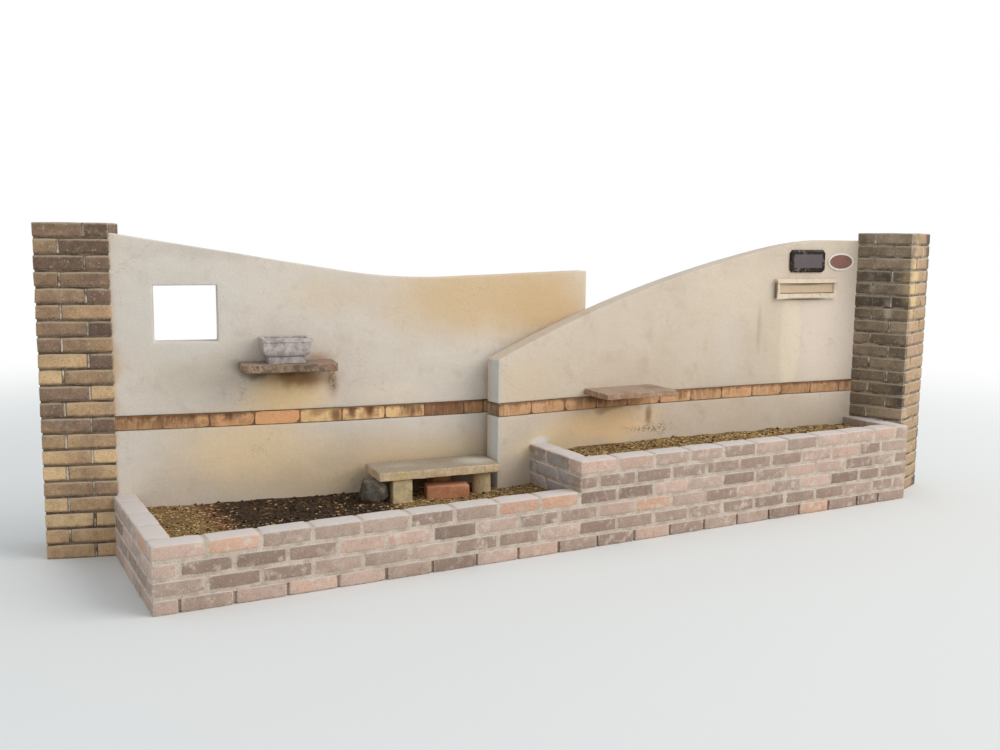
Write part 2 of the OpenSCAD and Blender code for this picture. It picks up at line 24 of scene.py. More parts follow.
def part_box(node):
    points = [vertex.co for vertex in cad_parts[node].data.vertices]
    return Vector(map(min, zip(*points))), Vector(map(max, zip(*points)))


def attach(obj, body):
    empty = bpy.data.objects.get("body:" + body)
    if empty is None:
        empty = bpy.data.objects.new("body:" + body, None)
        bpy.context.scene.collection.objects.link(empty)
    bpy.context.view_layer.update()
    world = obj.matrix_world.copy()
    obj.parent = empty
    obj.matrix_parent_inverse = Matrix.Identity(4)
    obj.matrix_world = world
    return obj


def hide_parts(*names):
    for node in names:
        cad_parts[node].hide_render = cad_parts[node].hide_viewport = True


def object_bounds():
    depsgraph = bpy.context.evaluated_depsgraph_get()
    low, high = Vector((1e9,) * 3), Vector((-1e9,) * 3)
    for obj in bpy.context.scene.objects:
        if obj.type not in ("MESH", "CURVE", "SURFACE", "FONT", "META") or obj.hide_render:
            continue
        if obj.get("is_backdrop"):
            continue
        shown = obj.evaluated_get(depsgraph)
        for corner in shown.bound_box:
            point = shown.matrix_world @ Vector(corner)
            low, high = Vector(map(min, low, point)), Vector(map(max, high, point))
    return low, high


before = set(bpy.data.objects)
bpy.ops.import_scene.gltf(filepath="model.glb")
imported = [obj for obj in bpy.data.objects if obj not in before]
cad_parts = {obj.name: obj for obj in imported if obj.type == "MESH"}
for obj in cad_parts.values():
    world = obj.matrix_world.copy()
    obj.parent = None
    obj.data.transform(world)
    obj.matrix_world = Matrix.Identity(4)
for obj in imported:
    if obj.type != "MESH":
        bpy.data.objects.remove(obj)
CAD_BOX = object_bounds()
LOG = logging.getLogger("garden_wall")
# Blender's noise draws its vectors from the clock unless it is given a seed
NOISE_SEED = 5
# Like solids read the noise at places drawn from 0 to this number
SEEDS = 90

# The left shelf, where the trough stands
LEFT_SHELF_X = 800.0
LEFT_SHELF_TOP = 911.0

# The string course runs between these heights in both walls
BAND_LOW = 599.0
BAND_HIGH = 667.0

# The planter's low left corner at the street is the plan's origin
PLAN_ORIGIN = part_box("lower_planter_front")[0]
PLAN_TO_ROW = Matrix.Translation(PLAN_ORIGIN) @ Matrix.Scale(0.001, 4)

Pairs = tuple[tuple[float, float], ...]
Triple = tuple[float, float, float]
Colour = tuple[float, float, float, float]
Tones = tuple[tuple[float, Colour], ...]
Value = float | Colour | Vector | NodeSocket
Surface = tuple[NodeSocket, NodeSocket]


def tint(red: float, green: float, blue: float) -> Colour:
    """Turns a colour as it looks on a screen, 0 to 255, into the linear colour that shaders use.

    Args:
        red: Red part, 0 to 255.
        green: Green part, 0 to 255.
        blue: Blue part, 0 to 255.

    Returns:
        The linear colour, opaque.
    """
    def linear(part: float) -> float:
        """Undoes the screen's curve for one part."""
        share = part / 255
        return share / 12.92 if share <= 0.04045 else ((share + 0.055) / 1.055) ** 2.4

    return linear(red), linear(green), linear(blue), 1.0


def in_row(x: float, y: float, z: float) -> Vector:
    """Place in the row's frame, in metres, of a place in the plan."""
    return PLAN_TO_ROW @ Vector((x, y, z))


# Plan curves


@dataclass(frozen=True)
class Arc:
    """The curve of a wall in plan. The side is -1 where the centre lies behind the wall, else 1."""

    centre_x: float
    centre_y: float
    radius: float
    side: int

    def turn(self, x: float) -> float:
        """Angle from the middle of the curve to the place x on the street face."""
        return math.asin((x - self.centre_x) / self.radius)

    def face_y(self, x: float) -> float:
        """Y of the street face at x."""
        return self.centre_y + self.side * self.radius * math.cos(self.turn(x))

    def bend(self, place: Vector) -> Vector:
        """Carries a place on the unrolled wall to the curve.

        Args:
            place: Place along the wall, depth behind the street face, and height.

        Returns:
            The same place in the plan.
        """
        angle = self.turn(place.x)
        reach = self.radius + self.side * place.y
        return Vector((
            self.centre_x + reach * math.sin(angle),
            self.centre_y + self.side * reach * math.cos(angle),
            place.z,
        ))

    def bend_all(self, bm: BMesh) -> None:
        """Bends every point of a mesh."""
        for vert in bm.verts:
            vert.co = self.bend(vert.co)

    def stand(self, x: float, extra: float = 0.0) -> Matrix:
        """Frame of something mounted on the street face at x.

        Args:
            x: Place along the wall.
            extra: Further turn, in degrees.

        Returns:
            The frame, with its X along the face and its Y into the wall.
        """
        turn = -self.side * self.turn(x) + math.radians(extra)
        return Matrix.Translation((x, self.face_y(x), 0)) @ Matrix.Rotation(turn, 4, "Z")


LEFT_ARC = Arc(2797.0, 13391.2, 12780.0, -1)
RIGHT_ARC = Arc(2608.0, -12993.0, 13500.0, 1)


# Node trees


class Nodes:
    """Places and joins the nodes of one material or group."""

    def __init__(self, tree: NodeTree) -> None:
        """Starts on an empty tree."""
        self.tree = tree
        tree.nodes.clear()

    def feed(self, socket: NodeSocket, value: Value) -> None:
        """Gives an input its value, or joins another node's output to it.

        Args:
            socket: The input.
            value: A value or another node's output.
        """
        if isinstance(value, NodeSocket):
            self.tree.links.new(value, socket)
        else:
            socket.default_value = value

    def add(self, kind: str, inputs: dict[str | int, Value] | None = None, **settings: object) -> Node:
        """Adds one node.

        Args:
            kind: Blender's name of the node's type.
            inputs: A value or another node's socket for each input.
            settings: The node's own settings.

        Returns:
            The node.
        """
        node = self.tree.nodes.new(kind)
        for name, setting in settings.items():
            setattr(node, name, setting)
        for name, value in (inputs or {}).items():
            self.feed(node.inputs[name], value)
        return node

    @cached_property
    def place(self) -> NodeSocket:
        """Object coordinates, in metres; a group is given its own place instead."""
        return self.add("ShaderNodeTexCoord").outputs["Object"]

    def math(self, kind: str, *inputs: Value) -> NodeSocket:
        """Result of one Math node."""
        return self.add("ShaderNodeMath", dict(enumerate(inputs)), operation=kind).outputs[0]

    def sum(self, kind: str, first: Value, second: Value = 0.0, third: Value = 0.0) -> NodeSocket:
        """Result of one Math node, kept between 0 and 1."""
        inputs = {0: first, 1: second, 2: third}
        return self.add("ShaderNodeMath", inputs, operation=kind, use_clamp=True).outputs[0]

    def vector(self, kind: str, *inputs: Value, **named: Value) -> NodeSocket:
        """Result of one Vector Math node."""
        node = self.add("ShaderNodeVectorMath", dict(enumerate(inputs)) | named, operation=kind)
        return node.outputs["Value" if kind == "LENGTH" else "Vector"]

    def split(self, vector: Value) -> dict[str, NodeSocket]:
        """A vector's X, Y and Z."""
        return self.add("ShaderNodeSeparateXYZ", {0: vector}).outputs

    def mix(self, share: Value, first: Value, second: Value, how: str = "MIX") -> NodeSocket:
        """Mixes two colours.

        Args:
            share: How much of the second colour shows.
            first: The colour under.
            second: The colour over.
            how: Blender's name of the way to mix.

        Returns:
            The mixed colour.
        """
        node = self.add("ShaderNodeMix", data_type="RGBA", blend_type=how)
        given = {"Factor_Float": share, "A_Color": first, "B_Color": second}
        for socket in node.inputs:
            if socket.identifier in given:
                self.feed(socket, given[socket.identifier])
        return next(out for out in node.outputs if out.identifier == "Result_Color")

    def over(self, colour: Value, other: Value, mask: Value, share: Value = 1.0) -> NodeSocket:
        """Lays a share of another colour over a colour where a mask shows."""
        return self.mix(self.sum("MULTIPLY", mask, share), colour, other)

    def shaded(self, colour: Value, shade: Value) -> NodeSocket:
        """A colour made lighter or darker by a factor that varies."""
        grey = self.add("ShaderNodeCombineColor", {0: shade, 1: shade, 2: shade}).outputs[0]
        return self.mix(1.0, colour, grey, "MULTIPLY")

    def grainy(self, colour: Value, scale: float, share: float) -> NodeSocket:
        """Lightens and darkens a colour grain by grain, by up to a share of its brightness."""
        return self.shaded(colour, self.fit(self.noise(scale, 2.0, 0.7), 0.34, 0.66, 1 - share, 1 + share))

    def tone(self) -> dict[str, NodeSocket]:
        """The three numbers that a mesh keeps for its finish, as X, Y and Z."""
        return self.split(self.add("ShaderNodeAttribute", attribute_name="tone").outputs["Vector"])

    def astray(self, value: Value, scale: float, reach: float, detail: float = 3.0,
               rough: float = 0.6) -> NodeSocket:
        """A value that strays up and down with the place, kept between 0 and 1."""
        drift = self.math("MULTIPLY_ADD", self.noise(scale, detail, rough), 2 * reach, -reach)
        return self.sum("ADD", value, drift)

    def fit(self, value: Value, low: Value, high: Value, to_low: float = 0.0, to_high: float = 1.0,
            how: str = "SMOOTHSTEP") -> NodeSocket:
        """Eases a value from one range into another."""
        inputs = {"Value": value, "From Min": low, "From Max": high, "To Min": to_low, "To Max": to_high}
        return self.add("ShaderNodeMapRange", inputs, interpolation_type=how).outputs[0]

    def ramp(self, share: Value, stops: Tones) -> NodeSocket:
        """Picks colours from a row of stops.

        Args:
            share: Place in the row, from 0 to 1.
            stops: Each stop's place and colour.

        Returns:
            The colour.
        """
        node = self.add("ShaderNodeValToRGB", {0: share})
        band = node.color_ramp
        for at, colour in stops[1:-1]:
            band.elements.new(at).color = colour
        for element, (at, colour) in zip((band.elements[0], band.elements[-1]), (stops[0], stops[-1])):
            element.position = at
            element.color = colour
        return node.outputs["Color"]

    def noise(self, scale: Value, detail: float = 3.0, rough: float = 0.5, twist: float = 0.0,
              place: Value | None = None, output: str = "Fac") -> NodeSocket:
        """Cloudy noise.

        Args:
            scale: Fineness of the clouds.
            detail: How many finer layers they have.
            rough: How strong the finer layers are.
            twist: How far the clouds are distorted.
            place: Where the noise is read, if it isn't the object's own place.
            output: The grey or the coloured noise, from 0 to 1.

        Returns:
            The noise.
        """
        inputs = {"Vector": place or self.place, "Scale": scale, "Detail": detail, "Roughness": rough,
                  "Distortion": twist}
        return self.add("ShaderNodeTexNoise", inputs).outputs[output]

    def cells(self, scale: Value, place: Value | None = None, **settings: str) -> dict[str, NodeSocket]:
        """Outputs of a cell pattern."""
        inputs = {"Vector": place or self.place, "Scale": scale}
        return self.add("ShaderNodeTexVoronoi", inputs, **settings).outputs

    def stretched(self, *scale: float) -> NodeSocket:
        """The place with each axis scaled by itself."""
        return self.add("ShaderNodeMapping", {"Vector": self.place, "Scale": Vector(scale)}).outputs[0]

    def effect(self, effect: "Effect", **inputs: Value) -> NodeSocket:
        """Output of one of the shared effects, read at the object's own place unless another is given.

        Args:
            effect: The effect.
            inputs: A value or an output for each of its inputs, by name.

        Returns:
            The effect's output.
        """
        if "Place" in effect.value:
            inputs.setdefault("place", self.place)
        given = {name.capitalize(): value for name, value in inputs.items()}
        return self.add("ShaderNodeGroup", given, node_tree=effect.tree()).outputs[0]

    def clouds(self, scale: float, low: float, high: float) -> NodeSocket:
        """Cloudy blotches that start at low and are full at high."""
        return self.effect(Effect.MOTTLE, scale=scale, low=low, high=high)

    def specks(self, scale: float, share: float, size: float, **place: Value) -> NodeSocket:
        """Round specks in a share of the cells."""
        return self.effect(Effect.SPECKS, scale=scale, share=share, size=size, **place)

    def runs(self, scale: float, length: float, low: float, high: float) -> NodeSocket:
        """Upright streaks; a smaller length draws them out."""
        return self.effect(Effect.STREAKS, scale=scale, length=length, low=low, high=high)

    def bump(self, height: Value, depth: float, under: Value | None = None) -> NodeSocket:
        """Normal of a surface with a height.

        Args:
            height: The height, from 0 to 1.
            depth: The full height, in metres.
            under: Normal of the surface under it.

        Returns:
            The normal.
        """
        inputs = {"Height": height, "Distance": depth, "Strength": 1.0}
        if under is not None:
            inputs["Normal"] = under
        return self.add("ShaderNodeBump", inputs).outputs[0]

    def grit(self, scale: float, lumps: float, depth: float, under: Value | None = None) -> NodeSocket:
        """Normal of a gritty surface."""
        return self.bump(self.effect(Effect.GRAIN, scale=scale, lumps=lumps), depth, under)


class Effect(Enum):
    """The effects that several finishes share: the inputs of each, where None stands for a vector."""

    SOFT_PATCH = {"Place": None, "Centre": None, "Reach": None, "Wander": 0.1, "Softness": 0.6}
    SPECKS = {"Place": None, "Scale": 150.0, "Share": 0.2, "Size": 0.3}
    STREAKS = {"Place": None, "Scale": 40.0, "Length": 0.08, "Low": 0.45, "High": 0.65}
    MOTTLE = {"Place": None, "Scale": 3.0, "Low": 0.4, "High": 0.6}
    GRAIN = {"Place": None, "Scale": 200.0, "Lumps": 0.5}
    # Level tops, which the finishes colour as painted light and shade from above
    DUSTY_TOPS = {"Low": 0.4, "High": 0.9}
    ARRISES = {"Turn": 0.0, "Low": 0.03, "High": 0.2}
    CRAZING = {"Place": None, "Scale": 2.0, "Width": 0.01}

    @cache
    def tree(self) -> NodeTree:
        """The effect's node group, built at first use.

        Returns:
            The group, with the effect's own inputs and one output.
        """
        name = self.name.lower()
        tree = bpy.data.node_groups.new(name, "ShaderNodeTree")
        for title, start in self.value.items():
            kind = "NodeSocketVector" if start is None else "NodeSocketFloat"
            socket = tree.interface.new_socket(title, in_out="INPUT", socket_type=kind)
            if start is not None:
                socket.default_value = start
        tree.interface.new_socket("Result", in_out="OUTPUT", socket_type="NodeSocketFloat")
        nodes = Nodes(tree)
        given = nodes.add("NodeGroupInput").outputs
        if "Place" in self.value:
            nodes.place = given["Place"]
        nodes.add("NodeGroupOutput", {0: getattr(self, f"_{name}")(nodes, given)})
        return tree

    def _soft_patch(self, nodes: Nodes, given: dict[str, NodeSocket]) -> NodeSocket:
        """A soft-edged patch round a centre: 1 inside it, 0 outside.

        Args:
            nodes: The group's nodes.
            given: The group's inputs.

        Returns:
            The patch's mask.
        """
        drift = nodes.vector("SUBTRACT", nodes.noise(7.0, 4.0, output="Color"), Vector((0.5, 0.5, 0.5)))
        drift = nodes.vector("SCALE", drift, Scale=given["Wander"])
        away = nodes.vector("SUBTRACT", nodes.vector("ADD", nodes.place, drift), given["Centre"])
        away = nodes.vector("LENGTH", nodes.vector("DIVIDE", away, given["Reach"]))
        return nodes.fit(away, nodes.sum("SUBTRACT", 1.0, given["Softness"]), 1.0, 1.0, 0.0)

    def _specks(self, nodes: Nodes, given: dict[str, NodeSocket]) -> NodeSocket:
        """Scattered round specks: 1 on a speck.

        Args:
            nodes: The group's nodes.
            given: The group's inputs.

        Returns:
            The specks' mask.
        """
        cells = nodes.cells(given["Scale"])
        pick = nodes.add("ShaderNodeSeparateColor", {0: cells["Color"]}).outputs[0]
        near = nodes.fit(cells["Distance"], 0.0, given["Size"], 1.0, 0.0, "LINEAR")
        return nodes.sum("MULTIPLY", nodes.sum("LESS_THAN", pick, given["Share"]), near)

    def _streaks(self, nodes: Nodes, given: dict[str, NodeSocket]) -> NodeSocket:
        """Upright runs of water and combing: 1 on a run.

        Args:
            nodes: The group's nodes.
            given: The group's inputs.

        Returns:
            The runs' mask.
        """
        parts = nodes.split(nodes.place)
        level = nodes.math("MULTIPLY", parts["Z"], given["Length"])
        flat = nodes.add("ShaderNodeCombineXYZ", {0: parts["X"], 1: parts["Y"], 2: level}).outputs[0]
        return nodes.fit(nodes.noise(given["Scale"], 3.0, 0.6, place=flat), given["Low"], given["High"])

    def _mottle(self, nodes: Nodes, given: dict[str, NodeSocket]) -> NodeSocket:
        """Cloudy blotches, from 0 to 1."""
        return nodes.fit(nodes.noise(given["Scale"], 5.0, 0.6, 0.3), given["Low"], given["High"])

    def _grain(self, nodes: Nodes, given: dict[str, NodeSocket]) -> NodeSocket:
        """Height of a gritty surface, fine grit on coarser lumps.

        Args:
            nodes: The group's nodes.
            given: The group's inputs.

        Returns:
            The height, from 0 to 1.
        """
        coarse = nodes.noise(nodes.math("MULTIPLY", given["Scale"], 0.18))
        return nodes.add("ShaderNodeMix", {0: given["Lumps"], 2: nodes.noise(given["Scale"], 4.0, 0.7),
                                           3: coarse}).outputs[0]

    def _dusty_tops(self, nodes: Nodes, given: dict[str, NodeSocket]) -> NodeSocket:
        """Where a surface faces up, for painted light and shade on tops: 1 on level tops."""
        up = nodes.split(nodes.add("ShaderNodeNewGeometry").outputs["True Normal"])["Z"]
        return nodes.fit(up, given["Low"], given["High"], how="LINEAR")

    def _arrises(self, nodes: Nodes, given: dict[str, NodeSocket]) -> NodeSocket:
        """Slanting faces along the arrises of a block that is turned about the upright: 1 on them.

        Args:
            nodes: The group's nodes.
            given: The group's inputs.

        Returns:
            The arrises' mask.
        """
        facing = nodes.add("ShaderNodeNewGeometry").outputs["True Normal"]
        turned = {"Vector": facing, "Angle": nodes.math("MULTIPLY", given["Turn"], -1.0)}
        squared = nodes.add("ShaderNodeVectorRotate", turned, rotation_type="Z_AXIS")
        parts = nodes.split(nodes.vector("ABSOLUTE", squared.outputs[0]))
        squareness = nodes.sum("MAXIMUM", nodes.sum("MAXIMUM", parts["X"], parts["Y"]), parts["Z"])
        slant = nodes.sum("SUBTRACT", 1.0, squareness)
        return nodes.fit(slant, given["Low"], given["High"], how="LINEAR")

    def _crazing(self, nodes: Nodes, given: dict[str, NodeSocket]) -> NodeSocket:
        """Fine cracks that wander over a surface and die out in places: 1 in a crack.

        Args:
            nodes: The group's nodes.
            given: The group's inputs.

        Returns:
            The cracks' mask.
        """
        drift = nodes.vector("SCALE", nodes.noise(6.0, 5.0, 0.65, output="Color"), Scale=0.35)
        moved = nodes.vector("ADD", nodes.place, drift)
        edge = nodes.cells(given["Scale"], moved, feature="DISTANCE_TO_EDGE")["Distance"]
        line = nodes.fit(edge, 0.0, given["Width"], 1.0, 0.0, "LINEAR")
        return nodes.sum("MULTIPLY", line, nodes.fit(nodes.noise(3.5), 0.5, 0.62))


# Finishes


@dataclass(frozen=True)
class StainOrPaintedLight:
    """A soft patch of another colour, for staining and for painted light and shade: where it is, how far it
    reaches, and how strong it is.
    """

    centre: Triple
    reach: Triple
    colour: Colour
    strength: float = 0.6
    wander: float = 0.12
    softness: float = 0.8
    dripping: bool = False
    speckled: bool = False

    def over(self, nodes: Nodes, under: NodeSocket) -> NodeSocket:
        """Lays the patch over a colour.

        Args:
            nodes: The material's nodes.
            under: The colour under the patch.

        Returns:
            The colour with the patch.
        """
        mask = nodes.effect(Effect.SOFT_PATCH, centre=in_row(*self.centre), reach=Vector(self.reach) / 1000,
                            wander=self.wander, softness=self.softness)
        if self.dripping:
            mask = nodes.sum("MULTIPLY", mask, nodes.runs(28.0, 0.08, 0.35, 0.6))
        if self.speckled:
            mask = nodes.sum("MULTIPLY", mask, nodes.fit(nodes.noise(75.0, 3.0, 0.7), 0.46, 0.56))
        return nodes.over(under, self.colour, mask, self.strength)


@dataclass(frozen=True)
class Finish:
    """A finish: its name, roughness, gloss, and patches of staining and of painted light and shade. Each kind
    of finish fills in its colour and relief.
    """

    name: str
    rough: float = 0.9
    gloss: float = 0.25
    staining_and_light: tuple[StainOrPaintedLight, ...] = ()

    def surface(self, nodes: Nodes) -> Surface:
        """Colour and normal of the finish; every kind of finish has its own."""
        raise NotImplementedError

    def stained(self, nodes: Nodes, colour: NodeSocket) -> NodeSocket:
        """Lays the finish's patches of staining and of painted light and shade over a colour.

        Args:
            nodes: The material's nodes.
            colour: The colour under the patches.

        Returns:
            The colour with the patches.
        """
        for mark in self.staining_and_light:
            colour = mark.over(nodes, colour)
        return colour

    @cache
    def material(self) -> Material:
        """The finish's material, built at first use.

        Returns:
            The material.
        """
        made = bpy.data.materials.new(self.name)
        made.use_nodes = True
        nodes = Nodes(made.node_tree)
        colour, normal = self.surface(nodes)
        shader = nodes.add("ShaderNodeBsdfPrincipled", {
            "Base Color": colour, "Normal": normal, "Roughness": self.rough,
            "Specular IOR Level": self.gloss})
        nodes.add("ShaderNodeOutputMaterial", {"Surface": shader.outputs[0]})
        return made


@dataclass(frozen=True)
class RenderFinish(Finish):
    """Weathered smooth render with pale and dark clouds, crazing, and patches of staining and of painted
    light and shade on the street side.
    """

    base: Colour = tint(206, 191, 175)
    pale: Colour = tint(213, 200, 185)
    dull: Colour = tint(192, 176, 158)

    def surface(self, nodes: Nodes) -> Surface:
        """Clouded render with patches of staining and of painted light and shade, and trowel marks.

        Args:
            nodes: The material's nodes.

        Returns:
            The colour and the normal.
        """
        colour = nodes.mix(nodes.clouds(2.2, 0.35, 0.65), self.base, self.pale)
        colour = nodes.over(colour, self.dull, nodes.clouds(9.0, 0.52, 0.75), 0.5)
        street_side = nodes.fit(nodes.tone()["X"], 0.1, 0.6)
        colour = nodes.mix(street_side, colour, self.stained(nodes, colour))
        colour = nodes.grainy(colour, 130.0, 0.035)
        colour = nodes.over(colour, tint(140, 118, 94), nodes.specks(60.0, 0.05, 0.3), 0.35)
        cracks = nodes.effect(Effect.CRAZING, scale=3.2, width=0.012)
        colour = nodes.over(colour, tint(150, 128, 104), cracks, 0.3)
        trowel = nodes.noise(9.0, 4.0, place=nodes.stretched(1, 1, 1.6))
        return colour, nodes.grit(420.0, 0.45, 0.0009, nodes.bump(trowel, 0.003))


@dataclass(frozen=True)
class BrickFinish(Finish):
    """Fired clay whose tone comes from each brick's own number, with grains, specks and bloom, pale worn
    arrises that are partly painted highlight, painted light and shade along each course's edges, and tops
    painted paler.
    """

    tones: Tones = ()
    flash: float = 0.15
    flash_scale: float = 9.0
    grains: float = 0.12
    bloom: Colour = tint(214, 198, 184)
    bloom_share: float = 0.35
    speck: Colour = tint(226, 210, 196)
    speck_share: float = 0.6
    speck_scale: float = 95.0
    # Colour of level tops, painted paler as lit from above
    top: Colour = tint(206, 194, 186)
    top_light_share: float = 0.75
    grit: float = 200.0
    relief: float = 0.002
    turn: float = 0.0
    # Pale colour of worn arrises, partly wear and partly painted highlight; also the painted highlight on
    # each course's upper edge
    arris: Colour = tint(208, 193, 178)
    arris_share: float = 0.75
    # Dark colour of clouds and pits; also the painted shade on each course's lower edge
    dark: Colour = tint(104, 82, 70)
    dark_share: float = 0.4
    # Height of a course, for the painted light and shade along its edges, and how strong that is
    course: float = 75.0
    course_light_share: float = 0.25
    speck_many: float = 0.3

    def _bed_edges(self, nodes: Nodes, colour: NodeSocket) -> NodeSocket:
        """Painted highlight along the upper edges and painted shade along the lower edges of every course's
        sides.

        Args:
            nodes: The material's nodes.
            colour: The bricks' colour.

        Returns:
            The colour with the painted highlight and shade.
        """
        level = nodes.split(nodes.place)["Z"]
        turns = nodes.math("MULTIPLY", level, 1000 / self.course)
        part = nodes.astray(nodes.math("FRACT", turns), 46.0, 0.07)
        # Painted shade along each course's lower edge
        colour = nodes.over(colour, self.dark, nodes.fit(part, 0.02, 0.16, 1.0, 0.0), self.course_light_share)
        # Painted highlight along each course's upper edge
        upper = nodes.sum("MULTIPLY", nodes.fit(part, 0.7, 0.82), nodes.fit(part, 0.93, 0.99, 1.0, 0.0))
        return nodes.over(colour, self.arris, upper, self.course_light_share * 0.8)

    def surface(self, nodes: Nodes) -> Surface:
        """Tone by brick, grains, cloudy bloom, specks, pale worn arrises that are partly painted highlight,
        painted light and shade along the course edges, and tops painted paler, on a gritty face.

        Args:
            nodes: The material's nodes.

        Returns:
            The colour and the normal.
        """
        parts = nodes.tone()
        colour = nodes.ramp(nodes.astray(parts["X"], self.flash_scale, 2 * self.flash), self.tones)
        colour = self.stained(nodes, nodes.shaded(colour, nodes.fit(parts["Y"], 0.0, 1.0, 0.9, 1.08)))
        colour = nodes.over(colour, self.dark, nodes.clouds(34.0, 0.5, 0.72), self.dark_share * 0.6)
        bloom = nodes.sum("MULTIPLY", nodes.clouds(24.0, 0.48, 0.72), self.bloom_share)
        colour = nodes.over(colour, self.bloom, bloom, nodes.fit(parts["Z"], 0.0, 1.0, 0.3, 1.6))
        colour = nodes.grainy(colour, 170.0, self.grains)
        specks = nodes.specks(self.speck_scale, self.speck_many, 0.42)
        colour = nodes.over(colour, self.speck, specks, self.speck_share)
        pits = nodes.specks(self.speck_scale * 0.9, 0.22, 0.45, place=nodes.stretched(1, 1, 1.3))
        colour = self._bed_edges(nodes, nodes.over(colour, self.dark, pits, self.dark_share))
        # Pale arrises: partly chipped wear, partly painted highlight
        chips = nodes.fit(nodes.noise(70.0, 3.0, 0.7), 0.4, 0.56)
        worn = nodes.sum("MULTIPLY", nodes.effect(Effect.ARRISES, turn=math.radians(self.turn)), chips)
        colour = nodes.over(colour, self.arris, worn, self.arris_share)
        # Painted light on level tops
        tops = nodes.effect(Effect.DUSTY_TOPS, low=0.35, high=0.95)
        colour = nodes.over(colour, self.top, tops, self.top_light_share)
        return colour, nodes.grit(self.grit, 0.6, self.relief)


@dataclass(frozen=True)
class CombedFinish(Finish):
    """Combed string-course brick: upright streaks in a clay tone, darker under its top edge."""

    tones: Tones = ()
    streak: Colour = tint(104, 70, 45)
    pale: Colour = tint(214, 180, 150)
    low: float = BAND_LOW
    high: float = BAND_HIGH

    def surface(self, nodes: Nodes) -> Surface:
        """Tone by brick with burnt patches, drips from the top edge and faint combing.

        Args:
            nodes: The material's nodes.

        Returns:
            The colour and the normal.
        """
        parts = nodes.tone()
        colour = nodes.ramp(nodes.astray(parts["X"], 14.0, 0.12), self.tones)
        colour = self.stained(nodes, colour)
        burnt = nodes.fit(parts["Z"], 0.0, 1.0, 0.1, 0.5)
        colour = nodes.over(colour, self.streak, nodes.clouds(40.0, 0.48, 0.66), burnt)
        colour = nodes.over(colour, self.pale, nodes.runs(75.0, 0.12, 0.48, 0.62), parts["Y"])
        level = nodes.split(nodes.place)["Z"]
        low, high = self.low / 1000, self.high / 1000
        drips = nodes.sum("MULTIPLY", nodes.runs(24.0, 0.3, 0.47, 0.6), nodes.fit(level, low, high, 0.3, 1.0))
        colour = nodes.over(colour, self.streak, drips, parts["Z"])
        ragged = nodes.math("MULTIPLY_ADD", nodes.noise(45.0), 0.03, level)
        edge = nodes.fit(ragged, high - 0.006, high + 0.012, 0.0, 0.75)
        colour = nodes.over(colour, self.streak, edge, nodes.fit(parts["Z"], 0.0, 0.5))
        lines = nodes.bump(nodes.runs(160.0, 0.05, 0.3, 0.7), 0.0004)
        return nodes.grainy(colour, 150.0, 0.07), nodes.grit(300.0, 0.5, 0.001, lines)


@dataclass(frozen=True)
class StoneFinish(Finish):
    """Cast or cut stone: two tones in clouds, grit, dark pits, and tops in a colour of their own, painted
    light and shade from above.
    """

    base: Colour = tint(170, 158, 146)
    second: Colour = tint(140, 126, 110)
    pits: Colour = tint(80, 66, 54)
    # Colour of level tops: painted light and shade from above
    top: Colour = tint(180, 170, 158)
    top_light_share: float = 0.4
    cloud: float = 14.0
    grit: float = 320.0
    relief: float = 0.0015
    grains: float = 0.08
    streaked: float = 0.0

    def surface(self, nodes: Nodes) -> Surface:
        """Clouded stone with pits, streaks, patches, and painted light and shade on its tops.

        Args:
            nodes: The material's nodes.

        Returns:
            The colour and the normal.
        """
        colour = nodes.mix(nodes.clouds(self.cloud, 0.36, 0.66), self.base, self.second)
        # Painted light and shade on level tops
        tops = nodes.effect(Effect.DUSTY_TOPS, low=0.5, high=0.95)
        colour = nodes.over(colour, self.top, tops, self.top_light_share)
        if self.streaked:
            colour = nodes.over(colour, self.pits, nodes.runs(70.0, 0.08, 0.42, 0.66), self.streaked)
        colour = nodes.grainy(self.stained(nodes, colour), 160.0, self.grains)
        colour = nodes.over(colour, self.pits, nodes.specks(120.0, 0.2, 0.4), 0.45)
        return colour, nodes.grit(self.grit, 0.5, self.relief)


@dataclass(frozen=True)
class EarthFinish(Finish):
    """Soil and litter, coloured by each crumb's own number."""

    tones: Tones = ()

    def surface(self, nodes: Nodes) -> Surface:
        """Crumbs of many browns.

        Args:
            nodes: The material's nodes.

        Returns:
            The colour and the normal.
        """
        colour = nodes.ramp(nodes.astray(nodes.tone()["X"], 60.0, 0.25, 4.0, 0.7), self.tones)
        colour = nodes.over(colour, self.tones[-3][1], nodes.specks(110.0, 0.22, 0.5), 0.6)
        holes = nodes.specks(90.0, 0.3, 0.5, place=nodes.stretched(1.2, 1, 1))
        return nodes.over(colour, self.tones[0][1], holes, 0.6), nodes.grit(120.0, 0.5, 0.008)


@dataclass(frozen=True)
class PaintFinish(Finish):
    """Painted or lacquered metal with dusting, tarnish and a soft gloss, and on the letter slot patches of
    painted shadow.
    """

    base: Colour = tint(226, 206, 184)
    worn: Colour = tint(170, 140, 112)
    worn_share: float = 0.4
    scale: float = 26.0

    def surface(self, nodes: Nodes) -> Surface:
        """Clouded paint with patches of staining and painted shadow, and faint brush marks.

        Args:
            nodes: The material's nodes.

        Returns:
            The colour and the normal.
        """
        clouds = nodes.sum("MULTIPLY", nodes.clouds(self.scale, 0.42, 0.7), self.worn_share)
        colour = nodes.mix(clouds, self.base, self.worn)
        colour = nodes.over(colour, self.worn, nodes.runs(60.0, 0.1, 0.5, 0.75), self.worn_share * 0.6)
        return self.stained(nodes, colour), nodes.grit(500.0, 0.6, 0.0004)


